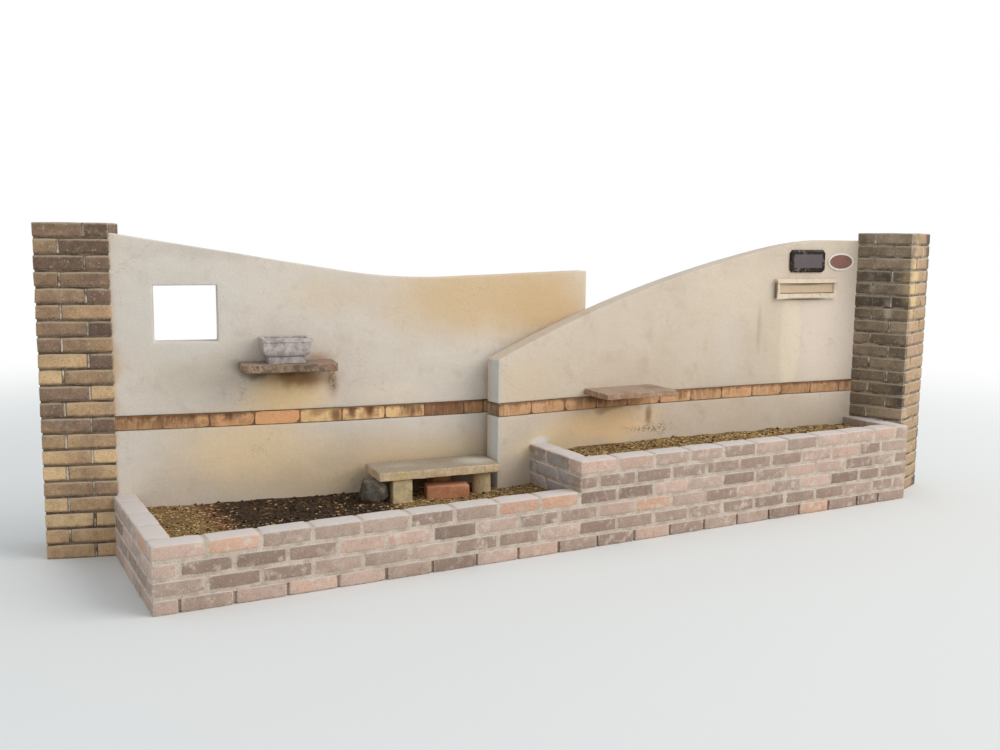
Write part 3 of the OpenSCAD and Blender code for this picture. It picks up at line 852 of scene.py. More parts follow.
@dataclass(frozen=True)
class PlateFinish(Finish):
    """Dark glass with a duller field in its middle, told apart by the mesh's own number, with a dusting,
    painted reflections and painted glints on its border.
    """

    border: Colour = tint(30, 23, 21)
    field: Colour = tint(96, 86, 88)
    # Colour of the dusting and painted reflection, strong on the border
    dust_and_sheen: Colour = tint(176, 150, 128)
    # Colour of the painted glints near the border's lower left
    glint: Colour = tint(206, 172, 112)
    glint_at: Triple = (3830.0, 430.0, 1345.0)
    glint_reach: Triple = (100.0, 100.0, 30.0)

    def surface(self, nodes: Nodes) -> Surface:
        """Field in a dark border, with a dusting and painted reflections clouded over the border, and faint
        painted glints.

        Args:
            nodes: The material's nodes.

        Returns:
            The colour and the normal.
        """
        inner = nodes.tone()["X"]
        colour = nodes.mix(inner, self.border, self.field)
        # Dusting and painted reflection: strong on the border, faint on the field
        sheen_and_dusting = nodes.fit(inner, 0.0, 1.0, 0.34, 0.05)
        colour = nodes.over(colour, self.dust_and_sheen, nodes.clouds(48.0, 0.52, 0.66), sheen_and_dusting)
        # Painted glints, on the border only
        patch = nodes.effect(Effect.SOFT_PATCH, centre=in_row(*self.glint_at),
                             reach=Vector(self.glint_reach) / 1000)
        bare = nodes.sum("SUBTRACT", patch, inner)
        colour = nodes.over(colour, self.glint, nodes.specks(70.0, 0.25, 0.5), bare)
        return colour, nodes.grit(90.0, 0.6, 0.0006)


LEFT_RENDER = RenderFinish("render_left", base=tint(213, 199, 184), pale=tint(219, 207, 193), staining_and_light=(
    StainOrPaintedLight((300, 900, 1160), (420, 500, 330), tint(211, 203, 192), 0.7),
    StainOrPaintedLight((520, 880, 1450), (560, 500, 75), tint(196, 186, 172), 0.6),
    StainOrPaintedLight((1750, 650, 1200), (700, 500, 300), tint(212, 183, 144), 0.95),
    StainOrPaintedLight((2180, 640, 1170), (420, 500, 330), tint(205, 173, 130), 0.9),
    StainOrPaintedLight((1000, 740, 1230), (330, 400, 130), tint(214, 190, 156), 0.4),
    StainOrPaintedLight((5, 950, 900), (60, 400, 420), tint(202, 170, 128), 0.6),
    StainOrPaintedLight((400, 900, 850), (330, 400, 140), tint(194, 180, 160), 0.6),
    StainOrPaintedLight((1300, 720, 330), (1600, 600, 270), tint(208, 180, 142), 0.8),
    StainOrPaintedLight((620, 850, 500), (520, 500, 260), tint(240, 210, 166), 0.8),
    StainOrPaintedLight((1310, 700, 735), (280, 300, 90), tint(226, 208, 186), 0.6),
    # Ochre staining under the left shelf, painted paler as painted light against the shelf's shadow
    StainOrPaintedLight((800, 780, 745), (300, 400, 170), tint(240, 206, 154), 0.9),
    # Painted shade below the left shelf
    StainOrPaintedLight((850, 780, 826), (270, 400, 92), tint(142, 104, 62), 0.9),
    # Painted shadow right under the left shelf
    StainOrPaintedLight((745, 790, 868), (270, 400, 62), tint(74, 62, 38), 0.9),
    StainOrPaintedLight((1020, 740, 812), (48, 300, 120), tint(156, 122, 90), 0.65, 0.05, 0.9),
    StainOrPaintedLight((1022, 740, 816), (30, 300, 86), tint(96, 70, 50), 0.6, 0.05, 0.7, speckled=True),
    StainOrPaintedLight((590, 800, 800), (24, 300, 110), tint(146, 122, 88), 0.5, 0.05, 0.9, speckled=True),
    StainOrPaintedLight((945, 740, 918), (130, 300, 44), tint(172, 136, 108), 0.65, 0.1, 0.9),
    StainOrPaintedLight((203, 935, 1150), (8, 75, 150), tint(150, 122, 84), 0.8, 0.004, 0.5),
    # Painted shade on the wall behind and under the bench
    StainOrPaintedLight((1500, 690, 280), (330, 160, 110), tint(84, 72, 58), 0.85, 0.05),
))
RIGHT_RENDER = RenderFinish(
    "render_right", base=tint(202, 185, 165), pale=tint(209, 193, 174), dull=tint(186, 167, 146), staining_and_light=(
        StainOrPaintedLight((4090, 430, 930), (470, 300, 640), tint(236, 217, 200), 0.85),
        StainOrPaintedLight((3400, 440, 1200), (520, 300, 330), tint(220, 202, 182), 0.6),
        # Ochre staining under the right shelf, painted paler as painted light against the shelf's shadow
        StainOrPaintedLight((2500, 507, 500), (500, 300, 150), tint(250, 214, 164), 0.9),
        StainOrPaintedLight((2150, 500, 420), (330, 300, 110), tint(226, 202, 158), 0.7),
        StainOrPaintedLight((2560, 510, 592), (220, 300, 34), tint(168, 132, 86), 0.7),
        StainOrPaintedLight((2800, 500, 540), (34, 300, 84), tint(150, 114, 78), 0.8, 0.04, 0.8),
        StainOrPaintedLight((2830, 500, 470), (230, 300, 50), tint(84, 68, 44), 0.6, 0.2, 0.9, speckled=True),
        StainOrPaintedLight((3790, 450, 930), (92, 300, 400), tint(236, 218, 190), 0.5, 0.02, 0.4),
        StainOrPaintedLight((3690, 450, 900), (130, 300, 330), tint(216, 202, 172), 0.45, 0.05, 0.9),
        # Painted shadow on the wall under the letter slot's frame
        StainOrPaintedLight((3885, 450, 1168), (232, 80, 8), tint(120, 96, 72), 0.75, 0.008, 0.6),
        StainOrPaintedLight((3560, 460, 1000), (26, 300, 200), tint(176, 160, 142), 0.5, 0.03, 0.8),
        StainOrPaintedLight((3350, 470, 900), (170, 400, 330), tint(212, 200, 186), 0.5, 0.1),
        StainOrPaintedLight((2000, 500, 760), (300, 300, 190), tint(210, 188, 158), 0.5),
        StainOrPaintedLight((2085, 500, 452), (80, 80, 26), tint(216, 209, 200), 0.85, 0.05, 0.5),
        # Painted shade: the end face in cool grey, as in the sky's shade
        StainOrPaintedLight((1821, 545, 450), (13, 300, 900), tint(208, 210, 204), 0.9, 0.0, 0.3),
    ))
PLANTER_BRICK = BrickFinish(
    "tumbled_brick", grains=0.09, speck_share=0.4, dark_share=0.36, bloom_share=0.5, top=tint(208, 199, 194),
    top_light_share=0.85, flash=0.12, course_light_share=0.3,
    # Painted shade: bluish grey on the west face of the upper planter's left return
    staining_and_light=(StainOrPaintedLight((2018, 300, 330), (15, 300, 140), tint(172, 168, 170), 0.75, 0.0, 0.3),),
    tones=((0.00, tint(146, 123, 109)), (0.25, tint(162, 139, 124)), (0.45, tint(178, 155, 140)),
           (0.60, tint(192, 165, 150)), (0.80, tint(200, 168, 150)), (1.00, tint(206, 160, 132))))
LEFT_PIER_TONES = ((0.00, tint(110, 88, 75)), (0.25, tint(134, 108, 90)), (0.50, tint(163, 132, 102)),
                   (0.75, tint(194, 159, 119)), (1.00, tint(216, 182, 138)))
RIGHT_PIER_TONES = ((0.00, tint(84, 72, 61)), (0.25, tint(104, 89, 75)), (0.50, tint(130, 112, 93)),
                    (0.75, tint(156, 136, 112)), (1.00, tint(178, 157, 132)))
LEFT_PIER_STAINS = (StainOrPaintedLight((-150, 950, 1500), (300, 300, 330), tint(112, 90, 68), 0.35),)
RIGHT_PIER_STAINING_AND_LIGHT = (
    StainOrPaintedLight((4308, 292, 560), (110, 235, 330), tint(142, 122, 98), 0.5, 0.05, 0.6),
    StainOrPaintedLight((4548, 170, 780), (186, 106, 1000), tint(192, 158, 122), 0.68, 0.02, 0.2),
    # Painted highlight: a pale yellow sunlit patch high on the street face
    StainOrPaintedLight((4455, 134, 1250), (120, 62, 270), tint(236, 204, 150), 0.55, 0.06, 0.7),
    StainOrPaintedLight((4540, 168, 890), (190, 100, 110), tint(182, 142, 124), 0.5, 0.1),
    StainOrPaintedLight((4339, 219, 1090), (24, 40, 120), tint(200, 192, 180), 0.55, 0.09, 0.9),
    StainOrPaintedLight((4300, 314, 1240), (22, 34, 60), tint(196, 188, 176), 0.5, 0.05, 0.9),
)
BAND_BRICK = CombedFinish(
    "combed_brick",
    tones=((0.00, tint(124, 88, 62)), (0.22, tint(158, 114, 80)), (0.45, tint(202, 156, 112)),
           (0.66, tint(240, 174, 122)), (0.84, tint(240, 198, 142)), (1.00, tint(240, 206, 166))),
    staining_and_light=(
        StainOrPaintedLight((290, 880, 655), (110, 300, 40), tint(92, 62, 38), 0.85, 0.05, dripping=True),
        StainOrPaintedLight((520, 860, 655), (110, 300, 34), tint(92, 62, 38), 0.85, 0.05, dripping=True),
        StainOrPaintedLight((1036, 740, 630), (44, 300, 60), tint(112, 76, 48), 0.85, 0.04),
        StainOrPaintedLight((940, 770, 650), (60, 300, 30), tint(150, 106, 68), 0.6, 0.05),
        StainOrPaintedLight((1120, 720, 655), (26, 300, 60), tint(104, 68, 40), 0.9, 0.03),
        StainOrPaintedLight((1205, 710, 650), (42, 300, 56), tint(110, 72, 44), 0.9, 0.04),
        StainOrPaintedLight((1430, 680, 645), (84, 300, 70), tint(112, 76, 54), 0.9, 0.05, dripping=True),
        StainOrPaintedLight((1600, 650, 640), (120, 300, 60), tint(124, 86, 60), 0.5, 0.06, speckled=True),
        # Painted shadow on the band under the right shelf
        StainOrPaintedLight((2500, 507, 655), (300, 300, 44), tint(84, 58, 38), 0.7, 0.05),
        StainOrPaintedLight((3010, 507, 640), (70, 300, 46), tint(120, 82, 50), 0.7, 0.04),
        # Painted shade on the band's end face, cool like the wall's end
        StainOrPaintedLight((1824, 545, 633), (7, 300, 60), tint(120, 104, 88), 0.85, 0.0, 0.3),
    ))
PLANTER_MORTAR = StoneFinish("planter_mortar", base=tint(202, 186, 170), second=tint(176, 158, 141),
                             top=tint(204, 194, 184), pits=tint(122, 104, 90), grains=0.14)
LEFT_PIER_MORTAR = StoneFinish("left_pier_mortar", base=tint(124, 102, 80), second=tint(84, 67, 52),
                               cloud=12.0, top=tint(140, 124, 106), pits=tint(66, 52, 40), grains=0.12)
RIGHT_PIER_MORTAR = StoneFinish("right_pier_mortar", base=tint(158, 144, 126), second=tint(88, 75, 62),
                                cloud=12.0, top=tint(160, 148, 132), pits=tint(70, 58, 46), grains=0.12)
PIER_POINTING = StoneFinish("pier_pointing", base=tint(206, 190, 168), second=tint(98, 82, 66), cloud=16.0,
                            top=tint(206, 190, 168), pits=tint(96, 80, 64), grains=0.12)
BAND_MORTAR = StoneFinish("band_mortar", base=tint(142, 104, 74), second=tint(104, 74, 52),
                          top=tint(140, 110, 84))
SOIL = EarthFinish("earth", tones=(
    (0.0, tint(36, 28, 20)), (0.28, tint(64, 49, 34)), (0.42, tint(108, 66, 46)), (0.56, tint(122, 96, 60)),
    (0.78, tint(178, 146, 96)), (1.0, tint(214, 186, 132))))
LEFT_SHELF = StoneFinish(
    "left_shelf_stone", base=tint(160, 130, 106), second=tint(104, 90, 76), pits=tint(60, 50, 40),
    top=tint(142, 132, 120), top_light_share=0.75, cloud=34.0, grains=0.2, grit=150.0, relief=0.005, staining_and_light=(
        StainOrPaintedLight((600, 700, 895), (60, 200, 60), tint(196, 160, 132), 0.6, 0.05, speckled=True),
        StainOrPaintedLight((820, 700, 890), (90, 200, 50), tint(96, 82, 66), 0.7, 0.05),
        StainOrPaintedLight((960, 700, 890), (70, 200, 50), tint(176, 120, 86), 0.5, 0.06),
    ))
RIGHT_SHELF = StoneFinish(
    "right_shelf_stone", base=tint(176, 146, 120), second=tint(148, 114, 90), pits=tint(92, 72, 58),
    top=tint(164, 144, 127), top_light_share=0.8, cloud=34.0, grains=0.18, grit=150.0, relief=0.005, staining_and_light=(
        StainOrPaintedLight((2740, 400, 711), (90, 90, 30), tint(124, 104, 88), 0.6, 0.06),
        StainOrPaintedLight((2500, 300, 690), (60, 200, 40), tint(150, 110, 84), 0.6, 0.05),
    ))
TROUGH_STONE = StoneFinish("trough_stone", base=tint(200, 188, 183), second=tint(158, 146, 141),
                           pits=tint(120, 108, 104), top=tint(204, 196, 194), cloud=34.0, grains=0.12)
BENCH_CONCRETE = StoneFinish(
    "bench_concrete", base=tint(218, 192, 156), second=tint(192, 166, 132), pits=tint(100, 80, 60),
    top=tint(160, 147, 130), top_light_share=0.95, streaked=0.16, grains=0.12, staining_and_light=(
        StainOrPaintedLight((1700, 520, 380), (130, 130, 30), tint(200, 190, 174), 0.85, 0.05),
        StainOrPaintedLight((1320, 560, 380), (150, 60, 20), tint(186, 172, 150), 0.5, 0.08),
        StainOrPaintedLight((1500, 560, 380), (120, 80, 20), tint(140, 124, 104), 0.4, 0.08),
        StainOrPaintedLight((1250, 430, 365), (90, 60, 60), tint(196, 168, 96), 0.6, 0.06, speckled=True),
    ))
BLOCK_CONCRETE = StoneFinish(
    "block_concrete", base=tint(206, 186, 146), second=tint(176, 154, 118), top=tint(190, 178, 150),
    grains=0.12, staining_and_light=(StainOrPaintedLight((1490, 480, 336), (400, 200, 26), tint(150, 112, 66), 0.7, 0.03),))
ROUGH_STONE = StoneFinish("rough_stone", base=tint(116, 108, 92), second=tint(76, 68, 58), cloud=20.0,
                          top=tint(124, 116, 102), relief=0.006, grit=110.0, grains=0.2)
RED_BRICK = StoneFinish(
    "red_brick", base=tint(200, 138, 102), second=tint(174, 116, 84), cloud=12.0, top=tint(204, 152, 122),
    pits=tint(128, 82, 62), grains=0.14,
    staining_and_light=(StainOrPaintedLight((1420, 470, 260), (50, 120, 60), tint(150, 106, 72), 0.5),))
ORANGE_BRICK = StoneFinish("orange_brick", base=tint(196, 136, 82), second=tint(160, 108, 68),
                           top=tint(200, 150, 110))
SLOT_METAL = PaintFinish(
    "slot_paint", 0.45, base=tint(226, 208, 184), worn=tint(168, 142, 116), worn_share=0.3, staining_and_light=(
        # Painted shade on the frame's left side
        StainOrPaintedLight((3661, 440, 1222), (9, 60, 66), tint(108, 86, 68), 0.85, 0.002, 0.4),
        # Painted shadow under the hood
        StainOrPaintedLight((3885, 440, 1259), (230, 60, 7), tint(96, 76, 58), 0.7, 0.004, 0.6),
        # Painted shadow along the frame's lower edge
        StainOrPaintedLight((3885, 440, 1173), (240, 60, 8), tint(110, 86, 66), 0.75, 0.004, 0.6),
        StainOrPaintedLight((4000, 440, 1194), (70, 60, 7), tint(90, 68, 52), 0.85, 0.008, 0.8, speckled=True),
    ))
FLAP_METAL = PaintFinish(
    "flap_paint", 0.45, base=tint(204, 179, 149), worn=tint(176, 150, 120), worn_share=0.2,
    # Painted shadow of the hood along the flap's top
    staining_and_light=(StainOrPaintedLight((3885, 440, 1256), (230, 60, 8), tint(120, 96, 72), 0.75, 0.004, 0.9),))
PLATE_GLASS = PlateFinish("name_plate_glass", 0.5, 0.2)
OVAL_FIELD = PaintFinish("oval_enamel", 0.5, base=tint(138, 96, 84), worn=tint(116, 80, 70))
OVAL_RIM = PaintFinish("oval_border", 0.5, base=tint(232, 224, 214), worn=tint(196, 182, 168))


def pier_brick(name: str, turn: float, tones: Tones, staining_and_light: tuple[StainOrPaintedLight, ...]) -> BrickFinish:
    """The sandy brick of one pier.

    Args:
        name: The finish's name.
        turn: The pier's turn, in degrees.
        tones: The bricks' tones.
        staining_and_light: The pier's patches of staining and painted light.

    Returns:
        The finish.
    """
    return BrickFinish(
        name, tones=tones, staining_and_light=staining_and_light, flash=0.3, flash_scale=5.5, grains=0.15, bloom=tint(206, 192, 168),
        bloom_share=0.16, speck=tint(228, 216, 196), speck_share=0.5, speck_scale=86.0, speck_many=0.12,
        top=tint(176, 160, 144), top_light_share=0.5, grit=110.0, relief=0.006, turn=turn,
        arris=tint(196, 178, 152), arris_share=0.5, dark=tint(70, 55, 44), dark_share=0.4, course_light_share=0.6)


# Solids


def set_down(name: str, bm: BMesh, finish: Finish, slot: str, *stands_for: str, body: str = "wall") -> None:
    """Turns a finished mesh into a piece in the row's frame.

    Args:
        name: The piece's name.
        bm: The mesh in the plan's millimetres; it is used up.
        finish: The piece's finish.
        slot: The record's material slot; not used.
        stands_for: CAD nodes that the piece replaces.
        body: The body that it rides on.
    """
    bm.transform(PLAN_TO_ROW)
    for vert in bm.verts:
        vert.co = [min(max(at, low), high) for at, low, high in zip(vert.co, *CAD_BOX)]
    for face in bm.faces:
        face.smooth = True
    mesh = bpy.data.meshes.new(name)
    bm.to_mesh(mesh)
    bm.free()
    mesh.materials.append(finish.material())
    made = bpy.data.objects.new(name, mesh)
    bpy.context.scene.collection.objects.link(made)
    made.modifiers.new("even_normals", "WEIGHTED_NORMAL").keep_sharp = True
    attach(made, body)
    if stands_for:
        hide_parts(*stands_for)
    LOG.info("%s: %d faces, on %s", name, len(mesh.polygons), body)


def roughen(bm: BMesh, size: float, depth: float, seed: float = 0.0) -> None:
    """Moves a mesh's points by smooth noise.

    Args:
        bm: The mesh.
        size: Width of the waves, in millimetres.
        depth: How far a point may move.
        seed: Shifts the noise, so that like shapes differ.
    """
    for vert in bm.verts:
        sample = vert.co / size + Vector((seed, 1.7 * seed, 2.3 * seed))
        vert.co += noise.noise_vector(sample) * depth


def take_off(bm: BMesh, offset: float, steepest: float, segments: int = 2) -> None:
    """Takes the arrises off a mesh.

    Args:
        bm: The mesh.
        offset: Width taken off.
        steepest: Only edges that turn by more than this, in radians, lose their arris.
        segments: Faces round each arris.
    """
    sharp = [edge for edge in bm.edges if edge.calc_face_angle(0.0) > steepest]
    bmesh.ops.bevel(bm, geom=sharp, offset=offset, offset_type="OFFSET", affect="EDGES", segments=segments,
                    profile=0.5, material=-1, clamp_overlap=True)


def cut(bm: BMesh, counts: Sequence[int]) -> None:
    """Cuts the edges along each axis.

    Args:
        bm: The mesh.
        counts: Cuts along X, Y and Z.
    """
    for axis, cuts in enumerate(counts):
        along = [edge for edge in bm.edges
                 if abs((edge.verts[0].co - edge.verts[1].co).normalized()[axis]) > 0.99]
        if cuts > 0:
            bmesh.ops.subdivide_edges(bm, edges=along, cuts=cuts, use_grid_fill=True)


def block(size: Sequence[float], middle: Sequence[float] = (0, 0, 0)) -> BMesh:
    """A plain box.

    Args:
        size: Its size.
        middle: Its middle.

    Returns:
        The mesh.
    """
    bm = bmesh.new()
    bmesh.ops.create_cube(bm, size=1.0, matrix=Matrix.Translation(middle) @ Matrix.Diagonal((*size, 1)))
    return bm


def thicken(bm: BMesh) -> list[BMVert]:
    """Doubles a sheet's faces and joins the two layers; the second layer's points are given back."""
    grown = bmesh.ops.extrude_face_region(bm, geom=bm.faces[:])
    return [item for item in grown["geom"] if isinstance(item, BMVert)]


def inset(bm: BMesh, face: BMFace, steps: Sequence[tuple[float, float]]) -> None:
    """Steps one face in and out.

    Args:
        bm: The mesh.
        face: The face.
        steps: How far in from its rim and how far out along its normal each step goes.
    """
    for thickness, depth in steps:
        bmesh.ops.inset_region(bm, faces=[face], thickness=thickness, depth=depth, use_even_offset=True)


def upright(x: float, y: float, turn: float) -> Matrix:
    """Frame that stands at a place in the plan, turned by so many degrees about the upright."""
    return Matrix.Translation((x, y, 0)) @ Matrix.Rotation(math.radians(turn), 4, "Z")


def slab(low: Sequence[float], high: Sequence[float], cell: float, arris: float, segments: int = 1) -> BMesh:
    """A box cut into cells, with its arrises taken off.

    Args:
        low: Lowest corner.
        high: Highest corner.
        cell: Size that the cells come close to.
        arris: Width taken off the arrises.
        segments: Faces round each arris.

    Returns:
        The box's mesh.
    """
    low, high = Vector(low), Vector(high)
    size = high - low
    bm = block(size, (low + high) / 2)
    cut(bm, [round(side / cell) - 1 for side in size])
    take_off(bm, arris, 0.5, segments)
    return bm


def give_tone(bm: BMesh, tone: Callable[[Vector], Sequence[float]]) -> None:
    """Gives every point of a mesh the three numbers that its finish reads.

    Args:
        bm: The mesh.
        tone: Gives the numbers, from 0 to 1, for a place.
    """
    layer = bm.verts.layers.float_vector.new("tone")
    for vert in bm.verts:
        vert[layer] = tone(vert.co)


class Pile:
    """Many solids joined into one mesh, each with a tone of its own."""

    def __init__(self) -> None:
        """Starts with nothing."""
        self.bm = bmesh.new()

    def add(self, solid: BMesh, tone: Sequence[float] = (0.5, 0.5, 0.5)) -> None:
        """Joins one solid.

        Args:
            solid: The solid's mesh; it is used up.
            tone: Three numbers from 0 to 1 that its finish reads.
        """
        give_tone(solid, lambda _: tone)
        mesh = bpy.data.meshes.new("part")
        solid.to_mesh(mesh)
        solid.free()
        self.bm.from_mesh(mesh)
        bpy.data.meshes.remove(mesh)


def knock(bm: BMesh, low: Sequence[float], high: Sequence[float], reach: float, most: float,
          dice: random.Random) -> None:
    """Rounds every corner of a block by its own amount, as tumbling and handling do.

    Args:
        bm: The block's mesh.
        low: Its lowest corner.
        high: Its highest corner.
        reach: How far from a corner the wear reaches.
        most: Greatest wear.
        dice: Source of the differences.
    """
    for pick in product((0, 1), repeat=3):
        corner = Vector([(low, high)[end][axis] for axis, end in enumerate(pick)])
        inward = Vector([1 - 2 * end for end in pick]) * most * dice.uniform(0.3, 1.0)
        for vert in bm.verts:
            near = 1 - (vert.co - corner).length / reach
            if near > 0:
                vert.co += inward * near


@dataclass(frozen=True)
class Bond:
    """The bricks' work size, the joint between them and how each is shaped."""

    length: float = 215.0
    width: float = 102.5
    height: float = 65.0
    joint: float = 10.0
    shortest: float = 20.0
    arris: float = 6.0
    rounds: int = 1
    cell: float = 54.0
    uneven: float = 2.0
    slack: float = 1.0
    tilt: float = 0.35
    worn: float = 4.5
    worn_reach: float = 26.0
    wave: float = 28.0
    fat: float = 0.0

    @property
    def pitch(self) -> float:
        """Length of a brick and a joint."""
        return self.length + self.joint

    @property
    def course(self) -> float:
        """Height of a brick and a joint."""
        return self.height + self.joint

    def stretchers(self, start: float, stop: float) -> Iterator[tuple[float, float]]:
        """Whole bricks from start, and a cut brick up to stop.

        Args:
            start: Where the first brick starts.
            stop: Where the run ends.

        Yields:
            Where each brick starts and stops.
        """
        at = start
        while stop - at > self.joint + self.shortest:
            yield at, min(at + self.length, stop)
            at += self.pitch

    def brick(self, low: Vector, high: Vector, place: Matrix, dice: random.Random) -> BMesh:
        """Shapes one brick.

        Args:
            low: Its lowest corner.
            high: Its highest corner.
            place: Frame that the corners are in.
            dice: Source of its small differences.

        Returns:
            The brick's mesh.
        """
        shrunk = Vector((self.uneven, self.uneven, self.uneven)) * 0.3 - Vector((self.fat * 0.7, 0, self.fat))
        bm = slab(low + shrunk, high - shrunk, self.cell, self.arris * dice.uniform(0.75, 1.25), self.rounds)
        knock(bm, low, high, self.worn_reach, self.worn, dice)
        roughen(bm, self.wave, self.uneven, dice.uniform(0, SEEDS))
        middle = (low + high) / 2
        tilt = upright(0, 0, dice.uniform(-self.tilt, self.tilt))
        shift = Matrix.Translation((dice.uniform(-1, 1) * self.slack, dice.uniform(0, 1) * self.slack, 0))
        bm.transform(place @ Matrix.Translation(middle) @ shift @ tilt @ Matrix.Translation(-middle))
        return bm


# Sub-assemblies


@dataclass
class RenderedWall:
    """A rendered wall bent to its curve, with a string course of combed brick let into it."""

    name: str
    arc: Arc
    start: float
    stop: float
    top: Callable[[float], float]
    opening: tuple[float, float, float, float]
    joints: tuple[float, ...]
    tones: Pairs
    finish: Finish
    stands_for: tuple[str, ...]
    band_nodes: tuple[str, ...]
    fixed: tuple[float, ...] = ()
    through_cuts: int = 3
    thickness: float = 110.0
    band_low: float = BAND_LOW
    band_high: float = BAND_HIGH
    band_proud: float = 4.0
    band_flush_from: float = math.inf
    combing: float = 0.15
    cell: float = 24.0
    rows_over: int = 4
    arris: float = 6.0
    wave: float = 1.3

    def _steps(self, marks: Sequence[float]) -> list[float]:
        """Evenly cut places between marks that are kept.

        Args:
            marks: The marks, in order.

        Returns:
            The places.
        """
        places = [marks[0]]
        for low, high in zip(marks, marks[1:]):
            cuts = max(1, round((high - low) / self.cell))
            places += [low + (high - low) * step / cuts for step in range(1, cuts + 1)]
        return places

    @property
    def crown(self) -> float:
        """Height of the wall's higher end."""
        return max(self.top(self.start), self.top(self.stop))

    def _height(self, level: float, x: float) -> float:
        """Height at x of a row that runs at the given level where the wall is highest.

        Args:
            level: The row's height there.
            x: Place along the wall.

        Returns:
            The height.
        """
        left, right, _, head = self.opening
        lowest = min(self.top(left), self.top(right))
        scale = min(1.0, (self.top(x) - self.band_high) / (lowest - self.band_high))
        if level <= self.band_high:
            return level
        if level <= head:
            return self.band_high + (level - self.band_high) * scale
        under = self.band_high + (head - self.band_high) * scale
        return under + (self.top(x) - under) * (level - head) / (self.crown - head)

    def _is_gap(self, place: Vector) -> bool:
        """True in the string course and in the opening."""
        x0, x1, z0, z1 = self.opening
        return self.band_low < place.z < self.band_high or (x0 < place.x < x1 and z0 < place.z < z1)

    def shell(self) -> BMesh:
        """The rendered body, with the opening and the groove of the string course.

        Returns:
            The mesh, bent to the curve.
        """
        x0, x1, z0, z1 = self.opening
        across = self._steps(sorted({self.start, x0, x1, self.stop, *self.fixed}))
        up = self._steps((0.0, self.band_low, self.band_high, z0, z1))
        up += [z1 + (self.crown - z1) * step / self.rows_over for step in range(1, self.rows_over + 1)]
        bm = bmesh.new()
        bmesh.ops.create_grid(bm, x_segments=len(across) - 1, y_segments=len(up) - 1, size=0.5)
        for vert in bm.verts:
            x = across[round((vert.co.x + 0.5) * (len(across) - 1))]
            level = up[round((vert.co.y + 0.5) * (len(up) - 1))]
            vert.co = (x, 0.0, self._height(level, x))
        gaps = [face for face in bm.faces if self._is_gap(face.calc_center_median())]
        bmesh.ops.delete(bm, geom=gaps, context="FACES")
        bmesh.ops.translate(bm, verts=thicken(bm), vec=(0, self.thickness, 0))
        bmesh.ops.recalc_face_normals(bm, faces=bm.faces)
        through = [edge for edge in bm.edges if abs(edge.verts[0].co.y - edge.verts[1].co.y) > self.arris]
        bmesh.ops.subdivide_edges(bm, edges=through, cuts=self.through_cuts, use_grid_fill=True)
        take_off(bm, self.arris, 1.0)
        roughen(bm, 240.0, self.wave)
        roughen(bm, 55.0, self.wave * 0.35, 7.0)
        give_tone(bm, lambda place: (1 - place.y / self.thickness, 0, 0))
        self.arc.bend_all(bm)
        return bm

    def string_course(self, dice: random.Random) -> BMesh:
        """The combed bricks, each bent to the curve.

        Args:
            dice: Source of the bricks' small differences.

        Returns:
            The bricks' mesh.
        """
        pile = Pile()
        for (low, high), (hue, drips) in zip(zip(self.joints, self.joints[1:]), self.tones):
            proud = self.band_proud if low < self.band_flush_from else 0.0
            bm = slab((low + 1.5, 0.8 - proud, self.band_low + 1.5),
                      (high - 1.5, self.thickness, self.band_high - 1.5), 30.0, 4.0, 2)
            knock(bm, (low, -proud, self.band_low), (high, self.thickness, self.band_high), 22.0, 3.0, dice)
            roughen(bm, 30.0, 0.9, dice.uniform(0, SEEDS))
            self.arc.bend_all(bm)
            pile.add(bm, (hue, self.combing, drips))
        return pile.bm

    def bedding(self) -> BMesh:
        """Mortar in the combed bricks' joints, nearly flush with them, bent to the curve.

        Returns:
            The mesh.
        """
        proud = self.band_proud if self.start < self.band_flush_from else 0.0
        stop = min(self.stop - 3, self.band_flush_from)
        bm = slab((self.start + 3, 2.4 - proud, self.band_low + 1),
                  (stop, self.thickness - 5, self.band_high - 1), 40.0, 1.0)
        self.arc.bend_all(bm)
        return bm

    def build(self, dice: random.Random) -> None:
        """Builds and dresses the wall's pieces.

        Args:
            dice: Source of the bricks' small differences.
        """
        set_down(f"{self.name}_render", self.shell(), self.finish, "render", *self.stands_for)
        set_down(f"{self.name}_string_course", self.string_course(dice), BAND_BRICK, "band_brick",
                 *self.band_nodes)
        set_down(f"{self.name}_string_bedding", self.bedding(), BAND_MORTAR, "band_brick")


@dataclass
class LeftTop:
    """The left wall's top: a straight fall, a concave sweep and a straight rise."""

    high: float = 1523.0
    fall: float = math.radians(9.25)
    low: float = 1310.0
    radius: float = 2950.0
    rise: float = math.radians(2.1)

    def height(self, x: float) -> float:
        """Height of the top at x.

        Args:
            x: Place along the wall.

        Returns:
            The height.
        """
        ramp_end = (self.high - self.low - self.radius * (1 - math.cos(self.fall))) / math.tan(self.fall)
        valley = ramp_end + self.radius * math.sin(self.fall)
        rise_start = valley + self.radius * math.sin(self.rise)
        if x < ramp_end:
            return self.high - x * math.tan(self.fall)
        if x < rise_start:
            return self.low + self.radius - math.sqrt(self.radius ** 2 - (x - valley) ** 2)
        start = self.low + self.radius * (1 - math.cos(self.rise))
        return start + (x - rise_start) * math.tan(self.rise)


